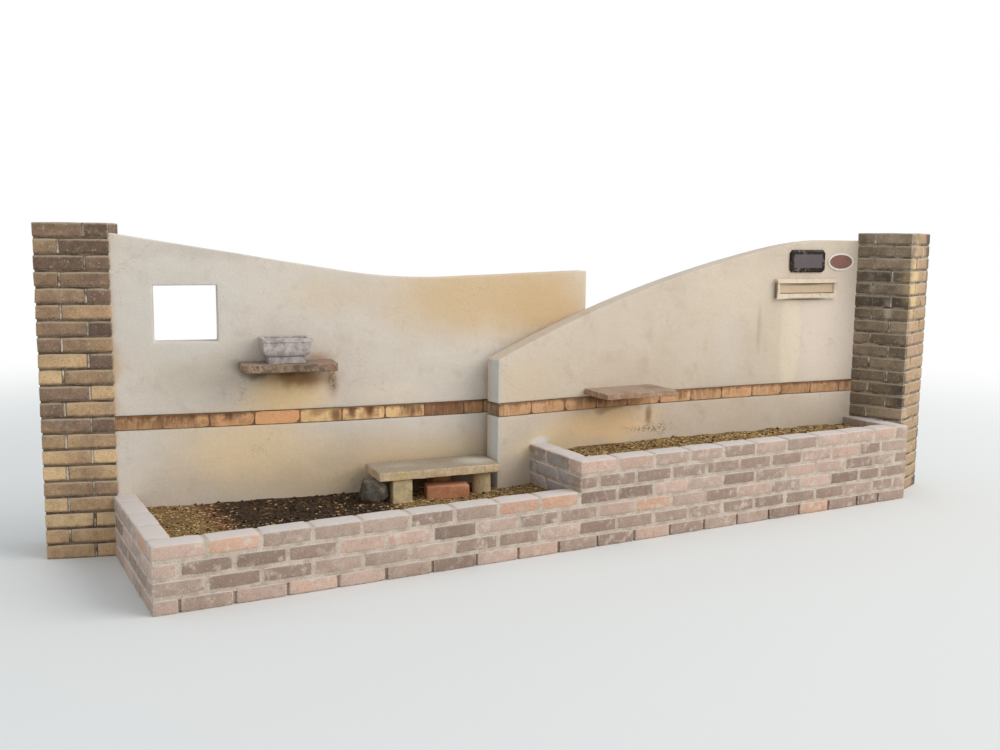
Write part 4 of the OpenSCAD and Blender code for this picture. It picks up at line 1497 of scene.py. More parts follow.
@dataclass
class RightTop:
    """The right wall's top: a domed sweep, a shoulder that eases it level, and a level end."""

    tip: tuple[float, float] = (1826.0, 895.0)
    sweep_end: tuple[float, float] = (3680.7, 1478.0)
    radius: float = 9212.0
    shoulder_end: float = 4089.3
    level: float = 1518.0

    def height(self, x: float) -> float:
        """Height of the top at x.

        Args:
            x: Place along the wall.

        Returns:
            The height.
        """
        if x >= self.shoulder_end:
            return self.level
        if x > self.sweep_end[0]:
            drop = self.level - self.sweep_end[1]
            run = self.shoulder_end - self.sweep_end[0]
            bend = (run ** 2 + drop ** 2) / (2 * drop)
            return self.level - bend + math.sqrt(bend ** 2 - (self.shoulder_end - x) ** 2)
        first, last = Vector(self.tip), Vector(self.sweep_end)
        chord = last - first
        sag = math.sqrt(self.radius ** 2 - (chord.length / 2) ** 2)
        centre = (first + last) / 2 + Vector((chord.y, -chord.x)).normalized() * sag
        return centre.y + math.sqrt(self.radius ** 2 - (x - centre.x) ** 2)


@dataclass
class Planter:
    """The stepped planter of tumbled bricks in stretcher bond, with its mortar."""

    bond: Bond = field(default_factory=lambda: Bond(arris=5.6, uneven=1.3, worn=2.6, fat=1.0))
    length: float = 4325.0
    step_x: float = 2025.0
    tones: tuple[float, ...] = (0.04, 0.12, 0.2, 0.28, 0.36, 0.42, 0.48, 0.62, 0.76, 0.94)
    lower_top: float = 290.0
    upper_top: float = 440.0
    recess: float = 3.6
    foot_recess: float = 18.0
    let_in: float = 40.0
    seed: int = 11

    def _front(self, course_from_top: int, start: float) -> Iterator[tuple[float, float]]:
        """Bricks of one front course: from its left end to the right return's own bricks.

        Args:
            course_from_top: The course's number.
            start: The front's left end.

        Yields:
            Where each brick starts and stops.
        """
        bond = self.bond
        if course_from_top % 2 == 0:
            yield from bond.stretchers(start, self.length - bond.width - bond.joint)
        else:
            yield from bond.stretchers(start + bond.width + bond.joint, self.length - bond.pitch)
            yield self.length - bond.length, self.length

    def _return(self, course_from_top: int, stop: float) -> Iterator[tuple[float, float]]:
        """Bricks of one course of a return, behind the front's own brick in every second course.

        Args:
            course_from_top: The course's number.
            stop: Where the return ends.

        Yields:
            Where each brick starts and stops.
        """
        bond = self.bond
        first = bond.width + bond.joint if course_from_top % 2 == 0 else 0.0
        yield from bond.stretchers(first, stop)

    def courses(self) -> Iterator[tuple[str, Vector, Vector]]:
        """Every brick of the planter.

        Yields:
            The run that a brick belongs to, and its lowest and highest corners.
        """
        bond = self.bond
        runs = (
            ("front", 0.0, self.lower_top, 4, 0),
            ("upper_front", self.step_x, self.upper_top, 2, 0),
        )
        for name, start, top, count, parity in runs:
            for course in range(count):
                high = top - course * bond.course
                for x0, x1 in self._front(course + parity, start):
                    yield name, Vector((x0, 0, high - bond.height)), Vector((x1, bond.width, high))
        sides = (
            ("left_return", 0.0, LEFT_ARC, self.lower_top, 4, 0),
            ("upper_left_return", self.step_x, RIGHT_ARC, self.upper_top, 3, 0),
            ("right_return", self.length - bond.width, RIGHT_ARC, self.upper_top, 6, 1),
        )
        for name, x, arc, top, count, parity in sides:
            back = arc.face_y(x + bond.width / 2) + self.let_in
            for course in range(count):
                high = top - course * bond.course
                for y0, y1 in self._return(course + parity, back):
                    yield name, Vector((x, y0, high - bond.height)), Vector((x + bond.width, y1, high))

    def bricks(self, upper: bool) -> BMesh:
        """The bricks of the lower or the upper part, each with its tone.

        Args:
            upper: Whether to build the upper part.

        Returns:
            The bricks' mesh.
        """
        dice = random.Random(self.seed + upper)
        pile = Pile()
        for name, low, high in self.courses():
            tone = (dice.choice(self.tones), dice.random(), dice.random())
            if (name in ("upper_front", "upper_left_return") or low.z >= self.lower_top) == upper:
                pile.add(self.bond.brick(low, high, Matrix(), dice), tone)
        return pile.bm

    def mortar(self) -> BMesh:
        """The mortar between the bricks, set back from their faces.

        Returns:
            The mesh.
        """
        width, gap, foot = self.bond.width, self.recess, self.foot_recess
        lowest = self.lower_top - 3 * self.bond.course - self.bond.joint
        pile = Pile()
        pile.add(slab((foot, foot, 0), (self.length - foot, width - gap, lowest + 5), 30.0, 3.0))
        runs = (
            ((0, 0), (self.length, width), lowest, self.lower_top),
            ((self.step_x, 0), (self.length, width), self.lower_top - 20, self.upper_top),
            ((0, 0), (width, LEFT_ARC.face_y(width) + self.let_in), 0.0, self.lower_top),
            ((self.step_x, 0), (self.step_x + width, RIGHT_ARC.face_y(self.step_x) + self.let_in),
             self.lower_top - self.bond.course, self.upper_top),
            ((self.length - width, 0), (self.length, RIGHT_ARC.face_y(self.length) + self.let_in / 2),
             0.0, self.upper_top),
        )
        for (x0, y0), (x1, y1), low, high in runs:
            bm = slab((x0 + gap, y0 + gap, low), (x1 - gap, y1 - gap, high - gap), 30.0, 3.0)
            roughen(bm, 30.0, 1.6, x0)
            pile.add(bm)
        return pile.bm

    def build(self) -> None:
        """Builds and dresses the planter's pieces."""
        set_down("planter_lower_bricks", self.bricks(False), PLANTER_BRICK, "planter_brick",
                 "lower_planter_front", "lower_planter_left_return")
        set_down("planter_upper_bricks", self.bricks(True), PLANTER_BRICK, "planter_brick",
                 "upper_planter_front", "upper_planter_left_return", "upper_planter_right_return")
        set_down("planter_mortar", self.mortar(), PLANTER_MORTAR, "planter_brick")


@dataclass
class Pier:
    """A square pier, one and a half bricks a side, of rock-faced bricks in pinwheel courses."""

    name: str
    corner: tuple[float, float]
    turn: float
    top_course_turns_right: bool
    seed: int
    tones: Tones
    staining_and_light: tuple[StainOrPaintedLight, ...]
    mortar_finish: Finish
    paler_below: float = 0.0
    side: float = 327.5
    courses: int = 21
    recess: float = 5.0
    pointing_recess: float = 2.6
    pointing_depth: float = 40.0
    hues: tuple[float, ...] = (0.1, 0.25, 0.4, 0.55, 0.75)
    bond: Bond = field(default_factory=lambda: Bond(arris=3.0, uneven=2.2, worn=2.4, fat=1.3))

    @property
    def place(self) -> Matrix:
        """Frame of the pier, at its corner."""
        return upright(*self.corner, self.turn)

    def plan(self, mirrored: bool) -> Iterator[tuple[Vector, Vector]]:
        """Corners of the five bricks of a course.

        Args:
            mirrored: Whether the pinwheel turns the other way.

        Yields:
            The lowest and highest corner of each brick, at height 0.
        """
        long, wide, side = self.bond.length, self.bond.width, self.side
        near, far = side - long, side - wide
        quarter = ((0, 0, long, wide), (far, 0, side, long), (near, far, side, side), (0, near, wide, side),
                   (near, near, long, long))
        for x0, y0, x1, y1 in quarter:
            if mirrored:
                x0, x1 = side - x1, side - x0
            yield Vector((x0, y0, 0)), Vector((x1, y1, self.bond.height))

    def bricks(self) -> BMesh:
        """The pier's bricks, each with its tone.

        Returns:
            The mesh.
        """
        dice = random.Random(self.seed)
        pile = Pile()
        for course in range(self.courses):
            lift = Vector((0, 0, course * self.bond.course))
            mirrored = self.top_course_turns_right != ((self.courses - 1 - course) % 2 == 1)
            low_down = 1 - course / self.courses
            for low, high in self.plan(mirrored):
                hue = dice.choice(self.hues) + self.paler_below * (low_down - 0.4)
                tone = (hue, dice.random(), dice.random())
                crown = Vector((0, 0, self.bond.fat if course == self.courses - 1 else 0))
                pile.add(self.bond.brick(low + lift, high + lift - crown, self.place, dice), tone)
        return pile.bm

    def pointing(self) -> BMesh:
        """Mortar in the upright joints, nearly flush with the faces.

        Returns:
            The mesh.
        """
        long, joint, side = self.bond.length, self.bond.joint, self.side
        about = Matrix.Translation((side / 2, side / 2, 0))
        pile = Pile()
        for course in range(self.courses):
            mirrored = self.top_course_turns_right != ((self.courses - 1 - course) % 2 == 1)
            x = side - long - joint if mirrored else long
            lift = course * self.bond.course
            for quarter in range(4):
                high = (x + joint, self.pointing_depth, lift + self.bond.height - 1)
                bm = slab((x, self.pointing_recess, lift + 1), high, 22.0, 2.0)
                roughen(bm, 20.0, 1.5, course + quarter)
                bm.transform(self.place @ (about @ upright(0, 0, 90 * quarter) @ about.inverted()))
                pile.add(bm)
        return pile.bm

    def mortar(self) -> BMesh:
        """The mortar core, set back from the bricks' faces.

        Returns:
            The mesh.
        """
        gap = self.recess
        top = (self.courses - 1) * self.bond.course + self.bond.height - 4
        bm = slab((gap, gap, 0), (self.side - gap, self.side - gap, top), 30.0, 3.0)
        roughen(bm, 26.0, 2.0, self.seed)
        bm.transform(self.place)
        return bm

    def build(self) -> None:
        """Builds and dresses the pier's pieces."""
        finish = pier_brick(f"{self.name}_sandy_brick", self.turn, self.tones, self.staining_and_light)
        set_down(f"{self.name}_bricks", self.bricks(), finish, "pier_brick", self.name)
        set_down(f"{self.name}_mortar", self.mortar(), self.mortar_finish, "pier_brick")
        set_down(f"{self.name}_pointing", self.pointing(), PIER_POINTING, "pier_brick")


@dataclass
class Bed:
    """Soil between the planter and the walls, with clods and dry litter on it."""

    name: str
    x0: float
    x1: float
    level: float
    arc: Arc
    crumb_count: int
    dry: float
    dry_from: float
    seed: int
    earth: float
    dry_earth: float = 0.56
    dry_below: float = -200.0
    drying: float = 180.0
    front: float = 98.0
    cell: float = 22.0
    lumps: float = 9.0

    def height(self, x: float, y: float) -> float:
        """Height of the soil.

        Args:
            x: Place along the planter.
            y: Place away from the street.

        Returns:
            The height.
        """
        wide = noise.noise(Vector((x / 150, y / 150, self.seed))) * self.lumps
        small = noise.noise(Vector((x / 34, y / 34, self.seed + 5))) * self.lumps * 0.5
        return self.level + wide + small

    def ground(self) -> BMesh:
        """The soil's slab with an uneven top.

        Returns:
            The mesh.
        """
        bm = bmesh.new()
        across = round((self.x1 - self.x0) / self.cell)
        deep = round((self.arc.face_y(self.x0) - self.front) / self.cell)
        bmesh.ops.create_grid(bm, x_segments=across, y_segments=deep, size=0.5)
        for vert in bm.verts:
            x = self.x0 + (self.x1 - self.x0) * (vert.co.x + 0.5)
            y = self.front + (self.arc.face_y(x) + 30 - self.front) * (vert.co.y + 0.5)
            vert.co = (x, y, self.height(x, y))
        for vert in thicken(bm):
            vert.co.z = 0.0
        bmesh.ops.recalc_face_normals(bm, faces=bm.faces)
        drier = self.dry_earth - self.earth
        give_tone(bm, lambda place: (self.earth + drier * self.dryness(place.x), 0.5, 0.5))
        return bm

    def dryness(self, x: float) -> float:
        """How much of the soil at x is dry litter, from 0 to 1."""
        past = max(x - self.dry_from, self.dry_below - x)
        return min(max(past / self.drying + 0.5, 0.0), 1.0)

    def crumbs(self) -> BMesh:
        """Clods, dark leaf bits and dry litter, pressed a little into the soil.

        Returns:
            The mesh.
        """
        dice = random.Random(self.seed)
        pile = Pile()
        for _ in range(self.crumb_count):
            x = dice.uniform(self.x0 + 12, self.x1 - 12)
            y = dice.uniform(self.front + 14, self.arc.face_y(x) - 8)
            share = 0.1 + (self.dry - 0.1) * self.dryness(x)
            dry, leaf = dice.random() < share, dice.random() < 0.3
            if dry or leaf:
                bm = block((1, 1, 1))
                size = Vector((dice.uniform(6, 20), dice.uniform(4, 9), dice.uniform(1.2, 3)))
                tone = dice.uniform(0.6, 1.0) if dry else dice.uniform(0.36, 0.56)
            else:
                bm = bmesh.new()
                bmesh.ops.create_icosphere(bm, subdivisions=1, radius=0.5)
                size = Vector((1, dice.uniform(0.6, 1), dice.uniform(0.5, 0.8))) * dice.triangular(5, 20, 7)
                tone = dice.uniform(0.0, 0.4)
            roughen(bm, 0.8, 0.14, dice.uniform(0, SEEDS))
            lie = Matrix.Rotation(dice.uniform(0, math.tau), 4, "Z")
            lie @= Matrix.Rotation(dice.uniform(-0.5, 0.5), 4, "X")
            rest = Matrix.Translation((x, y, self.height(x, y) + size.z * 0.3))
            bm.transform(rest @ lie @ Matrix.Diagonal(size).to_4x4())
            pile.add(bm, (tone, dice.random(), 0))
        return pile.bm

    def build(self) -> None:
        """Builds and dresses the bed's pieces."""
        set_down(f"{self.name}_ground", self.ground(), SOIL, "soil", f"{self.name}_soil")
        set_down(f"{self.name}_crumbs", self.crumbs(), SOIL, "soil")


@dataclass
class Shelves:
    """The two stone shelves let into the walls."""

    bite: float = 55.0

    def shelf(self, arc: Arc, x: float, extra: float, size: Triple, top: float) -> BMesh:
        """A shelf of rough stone.

        Args:
            arc: Curve of the wall that carries it.
            x: Place of its middle along the wall.
            extra: Further turn, in degrees.
            size: Length, reach from the wall and thickness.
            top: Height of its top.

        Returns:
            The shelf's mesh.
        """
        long, out, thick = size
        low = (-long / 2, -out, top - thick)
        high = (long / 2, self.bite, top)
        bm = slab(low, high, 12.0, 3.5, 2)
        knock(bm, low, high, 30.0, 3.5, random.Random(round(x)))
        roughen(bm, 60.0, 1.8, x)
        roughen(bm, 16.0, 2.2, x)
        bm.transform(arc.stand(x, extra))
        return bm

    def build(self) -> None:
        """Builds and dresses both shelves."""
        left = self.shelf(LEFT_ARC, LEFT_SHELF_X, 0, (450, 168, 38), LEFT_SHELF_TOP)
        set_down("shelf_left", left, LEFT_SHELF, "shelf_stone", "left_shelf")
        right = self.shelf(RIGHT_ARC, 2590, -2, (446, 240, 31), 711)
        set_down("shelf_right", right, RIGHT_SHELF, "shelf_stone", "right_shelf")


@dataclass
class Trough:
    """The small stone trough on the left shelf: foot, neck, rounded body, rim and hollow."""

    length: float = 236.0
    depth: float = 148.0
    height: float = 121.0
    rim_high: float = 17.0
    rim_out: float = 5.0
    foot: Triple = (174.0, 88.0, 36.0)
    neck_high: float = 5.0
    neck_in: float = 6.0
    belly: Pairs = ((0.6, 22.0), (1.2, 18.0), (3.4, 13.0), (6.0, 9.0), (7.5, 6.0))
    wall: float = 14.0
    hollow: float = 61.0
    hollow_in: float = 4.0
    place: Triple = (-12.0, -4.0, LEFT_SHELF_TOP)

    def body(self) -> BMesh:
        """The rim, the rounded body under it and the hollow, standing at height 0 on the trough's middle.

        Returns:
            The mesh.
        """
        bm = block((self.length, self.depth, self.rim_high), (0, 0, self.height - self.rim_high / 2))
        under, *_, lid = sorted(bm.faces, key=lambda face: face.calc_center_median().z)
        inset(bm, under, ((self.rim_out, 0.0), *self.belly))
        inset(bm, lid, ((self.rim_out + self.wall, 0.0), (self.hollow_in, -self.hollow)))
        cut(bm, (11, 6))
        return bm

    def pedestal(self) -> BMesh:
        """The foot and the narrower neck on it.

        Returns:
            The mesh.
        """
        long, deep, high = self.foot
        shoulder = high - self.neck_high
        bm = block((long, deep, shoulder), (0, 0, shoulder / 2))
        lid = max(bm.faces, key=lambda face: face.calc_center_median().z)
        inset(bm, lid, ((self.neck_in, 0.0), (0.1, self.neck_high + 1)))
        cut(bm, (9, 4, 2))
        return bm

    def build(self) -> None:
        """Builds and dresses the trough."""
        pile = Pile()
        for number, bm in enumerate((self.body(), self.pedestal())):
            take_off(bm, 2.2, 0.7)
            roughen(bm, 26.0, 1.2, number)
            roughen(bm, 11.0, 0.8, number + 5)
            pile.add(bm)
        x, y, z = self.place
        pile.bm.transform(LEFT_ARC.stand(LEFT_SHELF_X) @ Matrix.Translation((x, y - self.depth / 2, z)))
        set_down("trough", pile.bm, TROUGH_STONE, "trough_stone", "stone_trough")


@dataclass
class Bench:
    """The concrete slab on its mixed blocks, and the loose brick under it."""

    centre: tuple[float, float] = (1479.04, 529.84)
    turn: float = -5.0
    length: float = 637.0
    depth: float = 245.0
    thickness: float = 42.0
    soil: float = 225.0
    legs: float = 113.0
    sunk: float = 12.0
    square: float = 100.0
    square_in: float = 70.0
    inset: float = 8.0
    round_radius: float = 50.0
    round_taper: float = 4.0
    round_in: float = 22.0
    round_back: float = 30.0
    stone_radius: float = 60.0
    stone_out: float = 5.0
    stone_back: float = 78.0
    loose_left: float = 71.0
    loose_back: float = 14.0
    loose_turn: float = 11.0
    bond: Bond = field(default_factory=Bond)

    @property
    def place(self) -> Matrix:
        """Frame of the bench, at the middle of its slab."""
        return upright(*self.centre, self.turn)

    def top(self) -> BMesh:
        """The slab, cast rough, with ragged arrises.

        Returns:
            The mesh.
        """
        low = self.soil + self.legs
        bm = slab((-self.length / 2, -self.depth / 2, low),
                  (self.length / 2, self.depth / 2, low + self.thickness), 14.0, 3.5, 2)
        roughen(bm, 40.0, 2.0)
        roughen(bm, 14.0, 1.8, 3.0)
        return bm

    def square_block(self) -> BMesh:
        """The square block under the slab's left end.

        Returns:
            The mesh.
        """
        low = Vector((self.square_in - self.length / 2, self.inset - self.depth / 2, self.soil - self.sunk))
        bm = slab(low, low + Vector((self.square, self.square, self.legs + self.sunk)), 14.0, 4.0, 2)
        roughen(bm, 30.0, 1.4, 9.0)
        return bm

    def round_block(self) -> BMesh:
        """The round block under the slab's right end, a little narrower at its top.

        Returns:
            The mesh.
        """
        bm = bmesh.new()
        high = self.legs + self.sunk
        bmesh.ops.create_cone(bm, cap_ends=True, segments=40, radius1=self.round_radius,
                              radius2=self.round_radius - self.round_taper, depth=high)
        upright = [edge for edge in bm.edges if abs(edge.verts[0].co.z - edge.verts[1].co.z) > high / 2]
        bmesh.ops.subdivide_edges(bm, edges=upright, cuts=7, use_grid_fill=True)
        take_off(bm, 4.0, 1.0)
        roughen(bm, 34.0, 1.4, 12.0)
        middle = (self.length / 2 - self.round_in - self.round_radius,
                  self.round_back + self.round_radius - self.depth / 2, self.soil - self.sunk + high / 2)
        bm.transform(Matrix.Translation(middle))
        return bm

    def rough_stone(self) -> BMesh:
        """The undressed stone beyond the slab's left end.

        Returns:
            The mesh.
        """
        bm = bmesh.new()
        half = self.legs / 2
        bmesh.ops.create_icosphere(bm, subdivisions=4, radius=1.0)
        spread = self.stone_radius * 1.14
        for vert in bm.verts:
            level = max(min(vert.co.z * half * 1.35, half - 2), -half)
            vert.co = (vert.co.x * spread, vert.co.y * spread, level)
        roughen(bm, 44.0, 15.0, 2.0)
        roughen(bm, 16.0, 4.5, 4.0)
        for vert in bm.verts:
            vert.co.z = min(vert.co.z, half - 1)
        middle = (-self.stone_out - self.length / 2, self.stone_back - self.depth / 2, self.soil + half)
        bm.transform(Matrix.Translation(middle))
        return bm

    def rear_block(self, dice: random.Random) -> BMesh:
        """The orange half brick that carries the slab's back.

        Args:
            dice: Source of its small differences.

        Returns:
            The mesh.
        """
        wide = self.bond.width
        corner = Vector((0, self.depth / 2 - wide - self.inset, self.soil - self.sunk))
        return self.bond.brick(corner, corner + Vector((wide, wide, self.legs + self.sunk)), Matrix(), dice)

    def loose_brick(self, dice: random.Random) -> BMesh:
        """The loose brick that lies between the blocks.

        Args:
            dice: Source of its small differences.

        Returns:
            The mesh.
        """
        stand = Matrix.Translation((-self.loose_left, self.loose_back - self.depth / 2, self.soil))
        size = Vector((self.bond.length, self.bond.width, self.bond.height))
        crisp = Bond(arris=2.4, cell=27.0, uneven=1.6, worn=1.6)
        return crisp.brick(Vector(), size, stand @ upright(0, 0, -self.loose_turn), dice)

    def build(self) -> None:
        """Builds and dresses the bench's pieces."""
        dice = random.Random(8)
        parts = (
            ("bench_top", self.top(), BENCH_CONCRETE, "concrete", "bench_slab"),
            ("bench_square_foot", self.square_block(), BLOCK_CONCRETE, "concrete", "bench_square_block"),
            ("bench_round_foot", self.round_block(), BLOCK_CONCRETE, "concrete", "bench_round_block"),
            ("bench_stone", self.rough_stone(), ROUGH_STONE, "concrete", "bench_rough_stone"),
            ("bench_rear_foot", self.rear_block(dice), ORANGE_BRICK, "loose_red_brick", "bench_rear_block"),
            ("bench_loose_brick", self.loose_brick(dice), RED_BRICK, "loose_red_brick", "loose_brick"),
        )
        for name, bm, finish, slot, node in parts:
            bm.transform(self.place)
            set_down(name, bm, finish, slot, node)


def softened(node: str, arris: float) -> BMesh:
    """A merged copy of a CAD node with its arrises taken off.

    Args:
        node: The CAD node.
        arris: Width taken off its sharp edges, in millimetres.

    Returns:
        The mesh, in the plan's millimetres.
    """
    bm = bmesh.new()
    bm.from_mesh(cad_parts[node].data)
    bm.transform(PLAN_TO_ROW.inverted())
    bmesh.ops.remove_doubles(bm, verts=bm.verts, dist=0.01)
    bmesh.ops.dissolve_limit(bm, angle_limit=math.radians(1), verts=bm.verts, edges=bm.edges)
    take_off(bm, arris, 0.6)
    return bm


@dataclass
class Fittings:
    """The letter slot, its flap and sleeve, the name plate and the oval plate."""

    plate_border: float = 17.0
    plate_edge: float = 3.0
    slot_x: float = 3885.0
    slot_z: float = 1230.0
    slot_back: float = 1.86
    mouth_half: float = 200.0
    mouth_low: float = -27.0
    mouth_high: float = 35.0

    def strip(self, low: Triple, high: Triple) -> BMesh:
        """A thin metal strip across the slot's mouth, placed from the slot's middle.

        Args:
            low: Its lowest corner.
            high: Its highest corner.

        Returns:
            The mesh.
        """
        bm = slab(low, high, 60.0, 0.6)
        bm.transform(RIGHT_ARC.stand(self.slot_x) @ Matrix.Translation((0, -self.slot_back, self.slot_z)))
        return bm

    def frame(self) -> BMesh:
        """The slot's frame, with weather strips behind the flap's rod and beside the flap's ends.

        Returns:
            The mesh.
        """
        half, low, high = self.mouth_half, self.mouth_low, self.mouth_high
        pile = Pile()
        strips = [self.strip((-half - 4, -4, high - 6.5), (half + 4, -2, high + 3)),
                  self.strip((-half - 0.5, -16, low - 0.5), (-half + 4, -1, high - 12.5)),
                  self.strip((half - 4, -16, low - 0.5), (half + 0.5, -1, high - 12.5))]
        for bm in (softened("mail_slot_frame", 1.2), *strips):
            pile.add(bm, (0, 0, 0))
        return pile.bm

    def flap(self) -> BMesh:
        """The flap, with a lip turned back from its lower edge and down behind the frame.

        Returns:
            The mesh.
        """
        half, low = self.mouth_half - 6, self.mouth_low
        pile = Pile()
        strips = [self.strip((-half, -10, low + 5), (half, 4, low + 6.5)),
                  self.strip((-half, 2.5, low - 4), (half, 4, low + 6.5))]
        for bm in (softened("mail_slot_flap", 0.6), *strips):
            pile.add(bm, (0, 0, 0))
        return pile.bm

    def name_plate(self) -> BMesh:
        """The name plate, with its field marked off from its border.

        Returns:
            The mesh.
        """
        bm = softened("name_plate", self.plate_edge)
        front = max(bm.faces, key=lambda face: face.calc_area() * (face.normal.y < -0.5))
        layer = bm.verts.layers.float_vector.new("tone")
        for thickness in (self.plate_border, 1.5):
            bmesh.ops.inset_region(bm, faces=[front], thickness=thickness)
        for vert in front.verts:
            vert[layer] = (1, 0, 0)
        return bm

    def build(self) -> None:
        """Builds and dresses the fittings."""
        sleeve, enamel, rim = (softened(node, arris) for node, arris in (
            ("mail_slot_sleeve", 0.6), ("oval_plate", 0.5), ("oval_plate_rim", 1.0)))
        set_down("letter_slot_frame", self.frame(), SLOT_METAL, "slot_metal", "mail_slot_frame")
        set_down("letter_slot_sleeve", sleeve, SLOT_METAL, "slot_metal", "mail_slot_sleeve")
        set_down("letter_slot_flap", self.flap(), FLAP_METAL, "slot_metal", "mail_slot_flap", body="flap")
        set_down("name_plate_glass", self.name_plate(), PLATE_GLASS, "plate_glass", "name_plate")
        set_down("oval_plate_field", enamel, OVAL_FIELD, "oval_field", "oval_plate")
        set_down("oval_plate_border", rim, OVAL_RIM, "oval_rim", "oval_plate_rim")


# Camera, light and floor


@dataclass(frozen=True)
class Studio:
    """The camera at the photograph's viewpoint, soft light from the front right, and a pale floor."""

    eye: Triple = (-2.9188, -4.8282, 1.5266)
    aim: Triple = (82.4018, -0.6136, -28.668)
    lens: float = 37.68
    key_power: float = 4200.0
    key_size: float = 22.0
    key_away: float = 24.0
    key_side: float = 50.0
    key_height: float = 34.0
    key_aim: Triple = (0.0, 0.0, 0.6)
    key_colour: Triple = (1.0, 0.97, 0.93)
    white: Colour = (1.0, 1.0, 1.0, 1.0)
    fill: float = 0.8
    fill_colour: Colour = (0.86, 0.94, 1.0, 1.0)
    floor_colour: Colour = (0.72, 0.71, 0.69, 1.0)
    floor_size: float = 30.0
    floor_fades: tuple[float, float] = (3.5, 9.0)

    def camera(self) -> None:
        """Sets up the camera."""
        data = bpy.data.cameras.new("view")
        data.sensor_width = 36.0
        data.lens = self.lens
        data.clip_end = 100.0
        made = bpy.data.objects.new("view", data)
        made.location = self.eye
        made.rotation_euler = [math.radians(angle) for angle in self.aim]
        bpy.context.scene.collection.objects.link(made)
        bpy.context.scene.camera = made

    def key(self) -> None:
        """Sets up the large soft key light."""
        data = bpy.data.lights.new("key", "AREA")
        data.shape = "DISK"
        data.size = self.key_size
        data.energy = self.key_power
        data.color = self.key_colour
        made = bpy.data.objects.new("key", data)
        side, height = math.radians(self.key_side), math.radians(self.key_height)
        level = math.cos(height)
        away = Vector((math.sin(side) * level, -math.cos(side) * level, math.sin(height)))
        made.location = Vector(self.key_aim) + away * self.key_away
        made.rotation_euler = away.to_track_quat("Z", "Y").to_euler()
        bpy.context.scene.collection.objects.link(made)

    def sky(self) -> None:
        """Sets up even fill light, and white where the camera sees past the floor."""
        world = bpy.data.worlds.new("studio")
        bpy.context.scene.world = world
        world.use_nodes = True
        nodes = Nodes(world.node_tree)
        rays = nodes.add("ShaderNodeLightPath")
        seen = nodes.sum("ADD", rays.outputs["Is Camera Ray"], rays.outputs["Is Glossy Ray"])
        seen = nodes.sum("ADD", seen, rays.outputs["Is Transmission Ray"])
        fill = nodes.add("ShaderNodeBackground", {"Color": self.fill_colour, "Strength": self.fill})
        white = nodes.add("ShaderNodeBackground", {"Color": self.white, "Strength": 1.0})
        mixed = nodes.add("ShaderNodeMixShader", {0: seen, 1: fill.outputs[0], 2: white.outputs[0]})
        nodes.add("ShaderNodeOutputWorld", {"Surface": mixed.outputs[0]})

    def floor(self) -> None:
        """Lays the pale floor."""
        bm = bmesh.new()
        bmesh.ops.create_grid(bm, x_segments=1, y_segments=1, size=self.floor_size)
        mesh = bpy.data.meshes.new("floor")
        bm.to_mesh(mesh)
        bm.free()
        paint = bpy.data.materials.new("floor_paint")
        paint.use_nodes = True
        nodes = Nodes(paint.node_tree)
        shader = nodes.add("ShaderNodeBsdfPrincipled", {"Base Color": self.floor_colour, "Roughness": 0.9})
        away = nodes.vector("LENGTH", nodes.place)
        far = nodes.fit(away, *self.floor_fades)
        seen = nodes.add("ShaderNodeLightPath").outputs["Is Camera Ray"]
        white = nodes.add("ShaderNodeEmission", {"Color": self.white, "Strength": 1.0})
        mixed = nodes.add("ShaderNodeMixShader", {0: nodes.sum("MULTIPLY", far, seen), 1: shader.outputs[0],
                                                  2: white.outputs[0]})
        nodes.add("ShaderNodeOutputMaterial", {"Surface": mixed.outputs[0]})
        mesh.materials.append(paint)
        made = bpy.data.objects.new("floor", mesh)
        bpy.context.scene.collection.objects.link(made)
        made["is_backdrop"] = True

    def build(self) -> None:
        """Sets up the whole studio."""
        self.camera()
        self.key()
        self.sky()
        self.floor()
        bpy.context.scene.view_settings.view_transform = "Standard"


def keep_sizes() -> None:
    """Gathers the CAD box and the dressed box into a table, which is not kept."""
    boxes = {"cad": CAD_BOX, "visual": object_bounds()}
    {name: [list(corner) for corner in box] for name, box in boxes.items()}


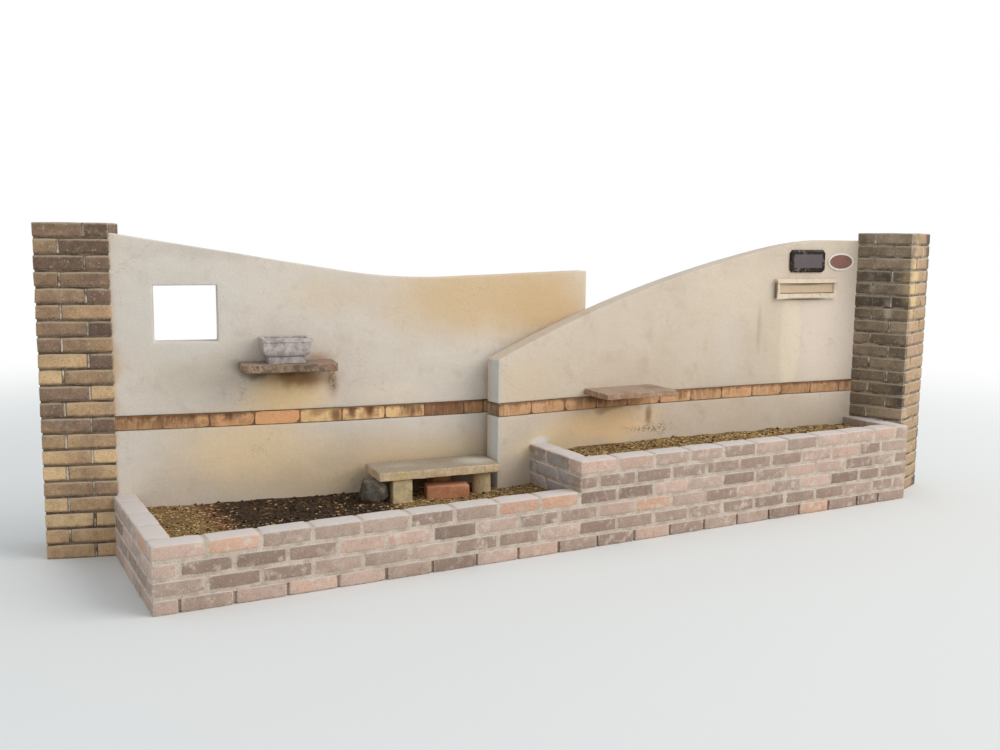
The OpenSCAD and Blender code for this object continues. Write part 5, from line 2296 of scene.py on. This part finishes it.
def main() -> None:
    """Builds the studio and dresses the wall, piece by piece."""
    logging.basicConfig(level=logging.INFO, format="%(name)s: %(message)s")
    noise.seed_set(NOISE_SEED)
    Studio().build()
    dice = random.Random(5)
    RenderedWall(
        "left_wall", LEFT_ARC, -40.5, 2438.0, LeftTop().height, (202.0, 486.0, 1012.0, 1278.0),
        (-40.5, 14, 226, 439, 645, 862, 1069, 1289, 1497, 1714, 1826, 2040, 2250, 2438),
        ((0.3, 0.8), (0.35, 0.8), (0.48, 0.8), (0.55, 0.6), (0.67, 0.05), (0.84, 0.3), (0.8, 0.7), (0.8, 0.6),
         (0.14, 0.5), (0.3, 0.5), (0.4, 0.4), (0.5, 0.3), (0.4, 0.3)),
        LEFT_RENDER,
        ("left_wall_base_west", "left_wall_base_east", "left_wall_jamb", "left_wall_under_window",
         "left_wall_over_window", "left_wall_ramp", "left_wall_valley", "left_wall_end"),
        ("left_wall_band_west", "left_wall_band_east"), (1072.3, 1654.6), band_flush_from=1800.0,
    ).build(dice)
    RenderedWall(
        "right_wall", RIGHT_ARC, 1826.0, 4497.5, RightTop().height, (3680.7, 4089.3, 1185.7, 1274.3),
        (1826, 2028, 2239, 2444, 2652, 2874, 3089, 3308, 3527, 3742, 3957, 4172, 4387, 4497.5),
        ((0.44, 0.4), (0.46, 0.4), (0.48, 0.4), (0.4, 0.7), (0.46, 0.5), (0.5, 0.4), (0.44, 0.5), (0.52, 0.4),
         (0.46, 0.4), (0.36, 0.5), (0.42, 0.5), (0.4, 0.5), (0.34, 0.5)),
        RIGHT_RENDER,
        ("right_wall_base_west", "right_wall_base_east", "right_wall_sweep_low", "right_wall_sweep_high",
         "right_wall_under_slot", "right_wall_over_slot", "right_wall_pier_end"),
        ("right_wall_band_west", "right_wall_band_east"), combing=0.45,
    ).build(dice)
    Planter().build()
    Pier("left_pier", (-295.0, 992.0), -16.2, False, 21, LEFT_PIER_TONES, LEFT_PIER_STAINS,
         LEFT_PIER_MORTAR, 0.85).build()
    Pier("right_pier", (4385.0, 105.0), 22.0, True, 22, RIGHT_PIER_TONES, RIGHT_PIER_STAINING_AND_LIGHT,
         RIGHT_PIER_MORTAR).build()
    Bed("lower_bed", 95.0, 2040.0, 225.0, LEFT_ARC, 4400, 0.85, 1180.0, 3, 0.15, dry_below=420.0).build()
    Bed("upper_bed", 2110.0, 4240.0, 394.0, RIGHT_ARC, 4200, 0.93, 2110.0, 4, 0.55).build()
    Shelves().build()
    Trough().build()
    Bench().build()
    Fittings().build()
    keep_sizes()


if __name__ == "__main__":
    main()
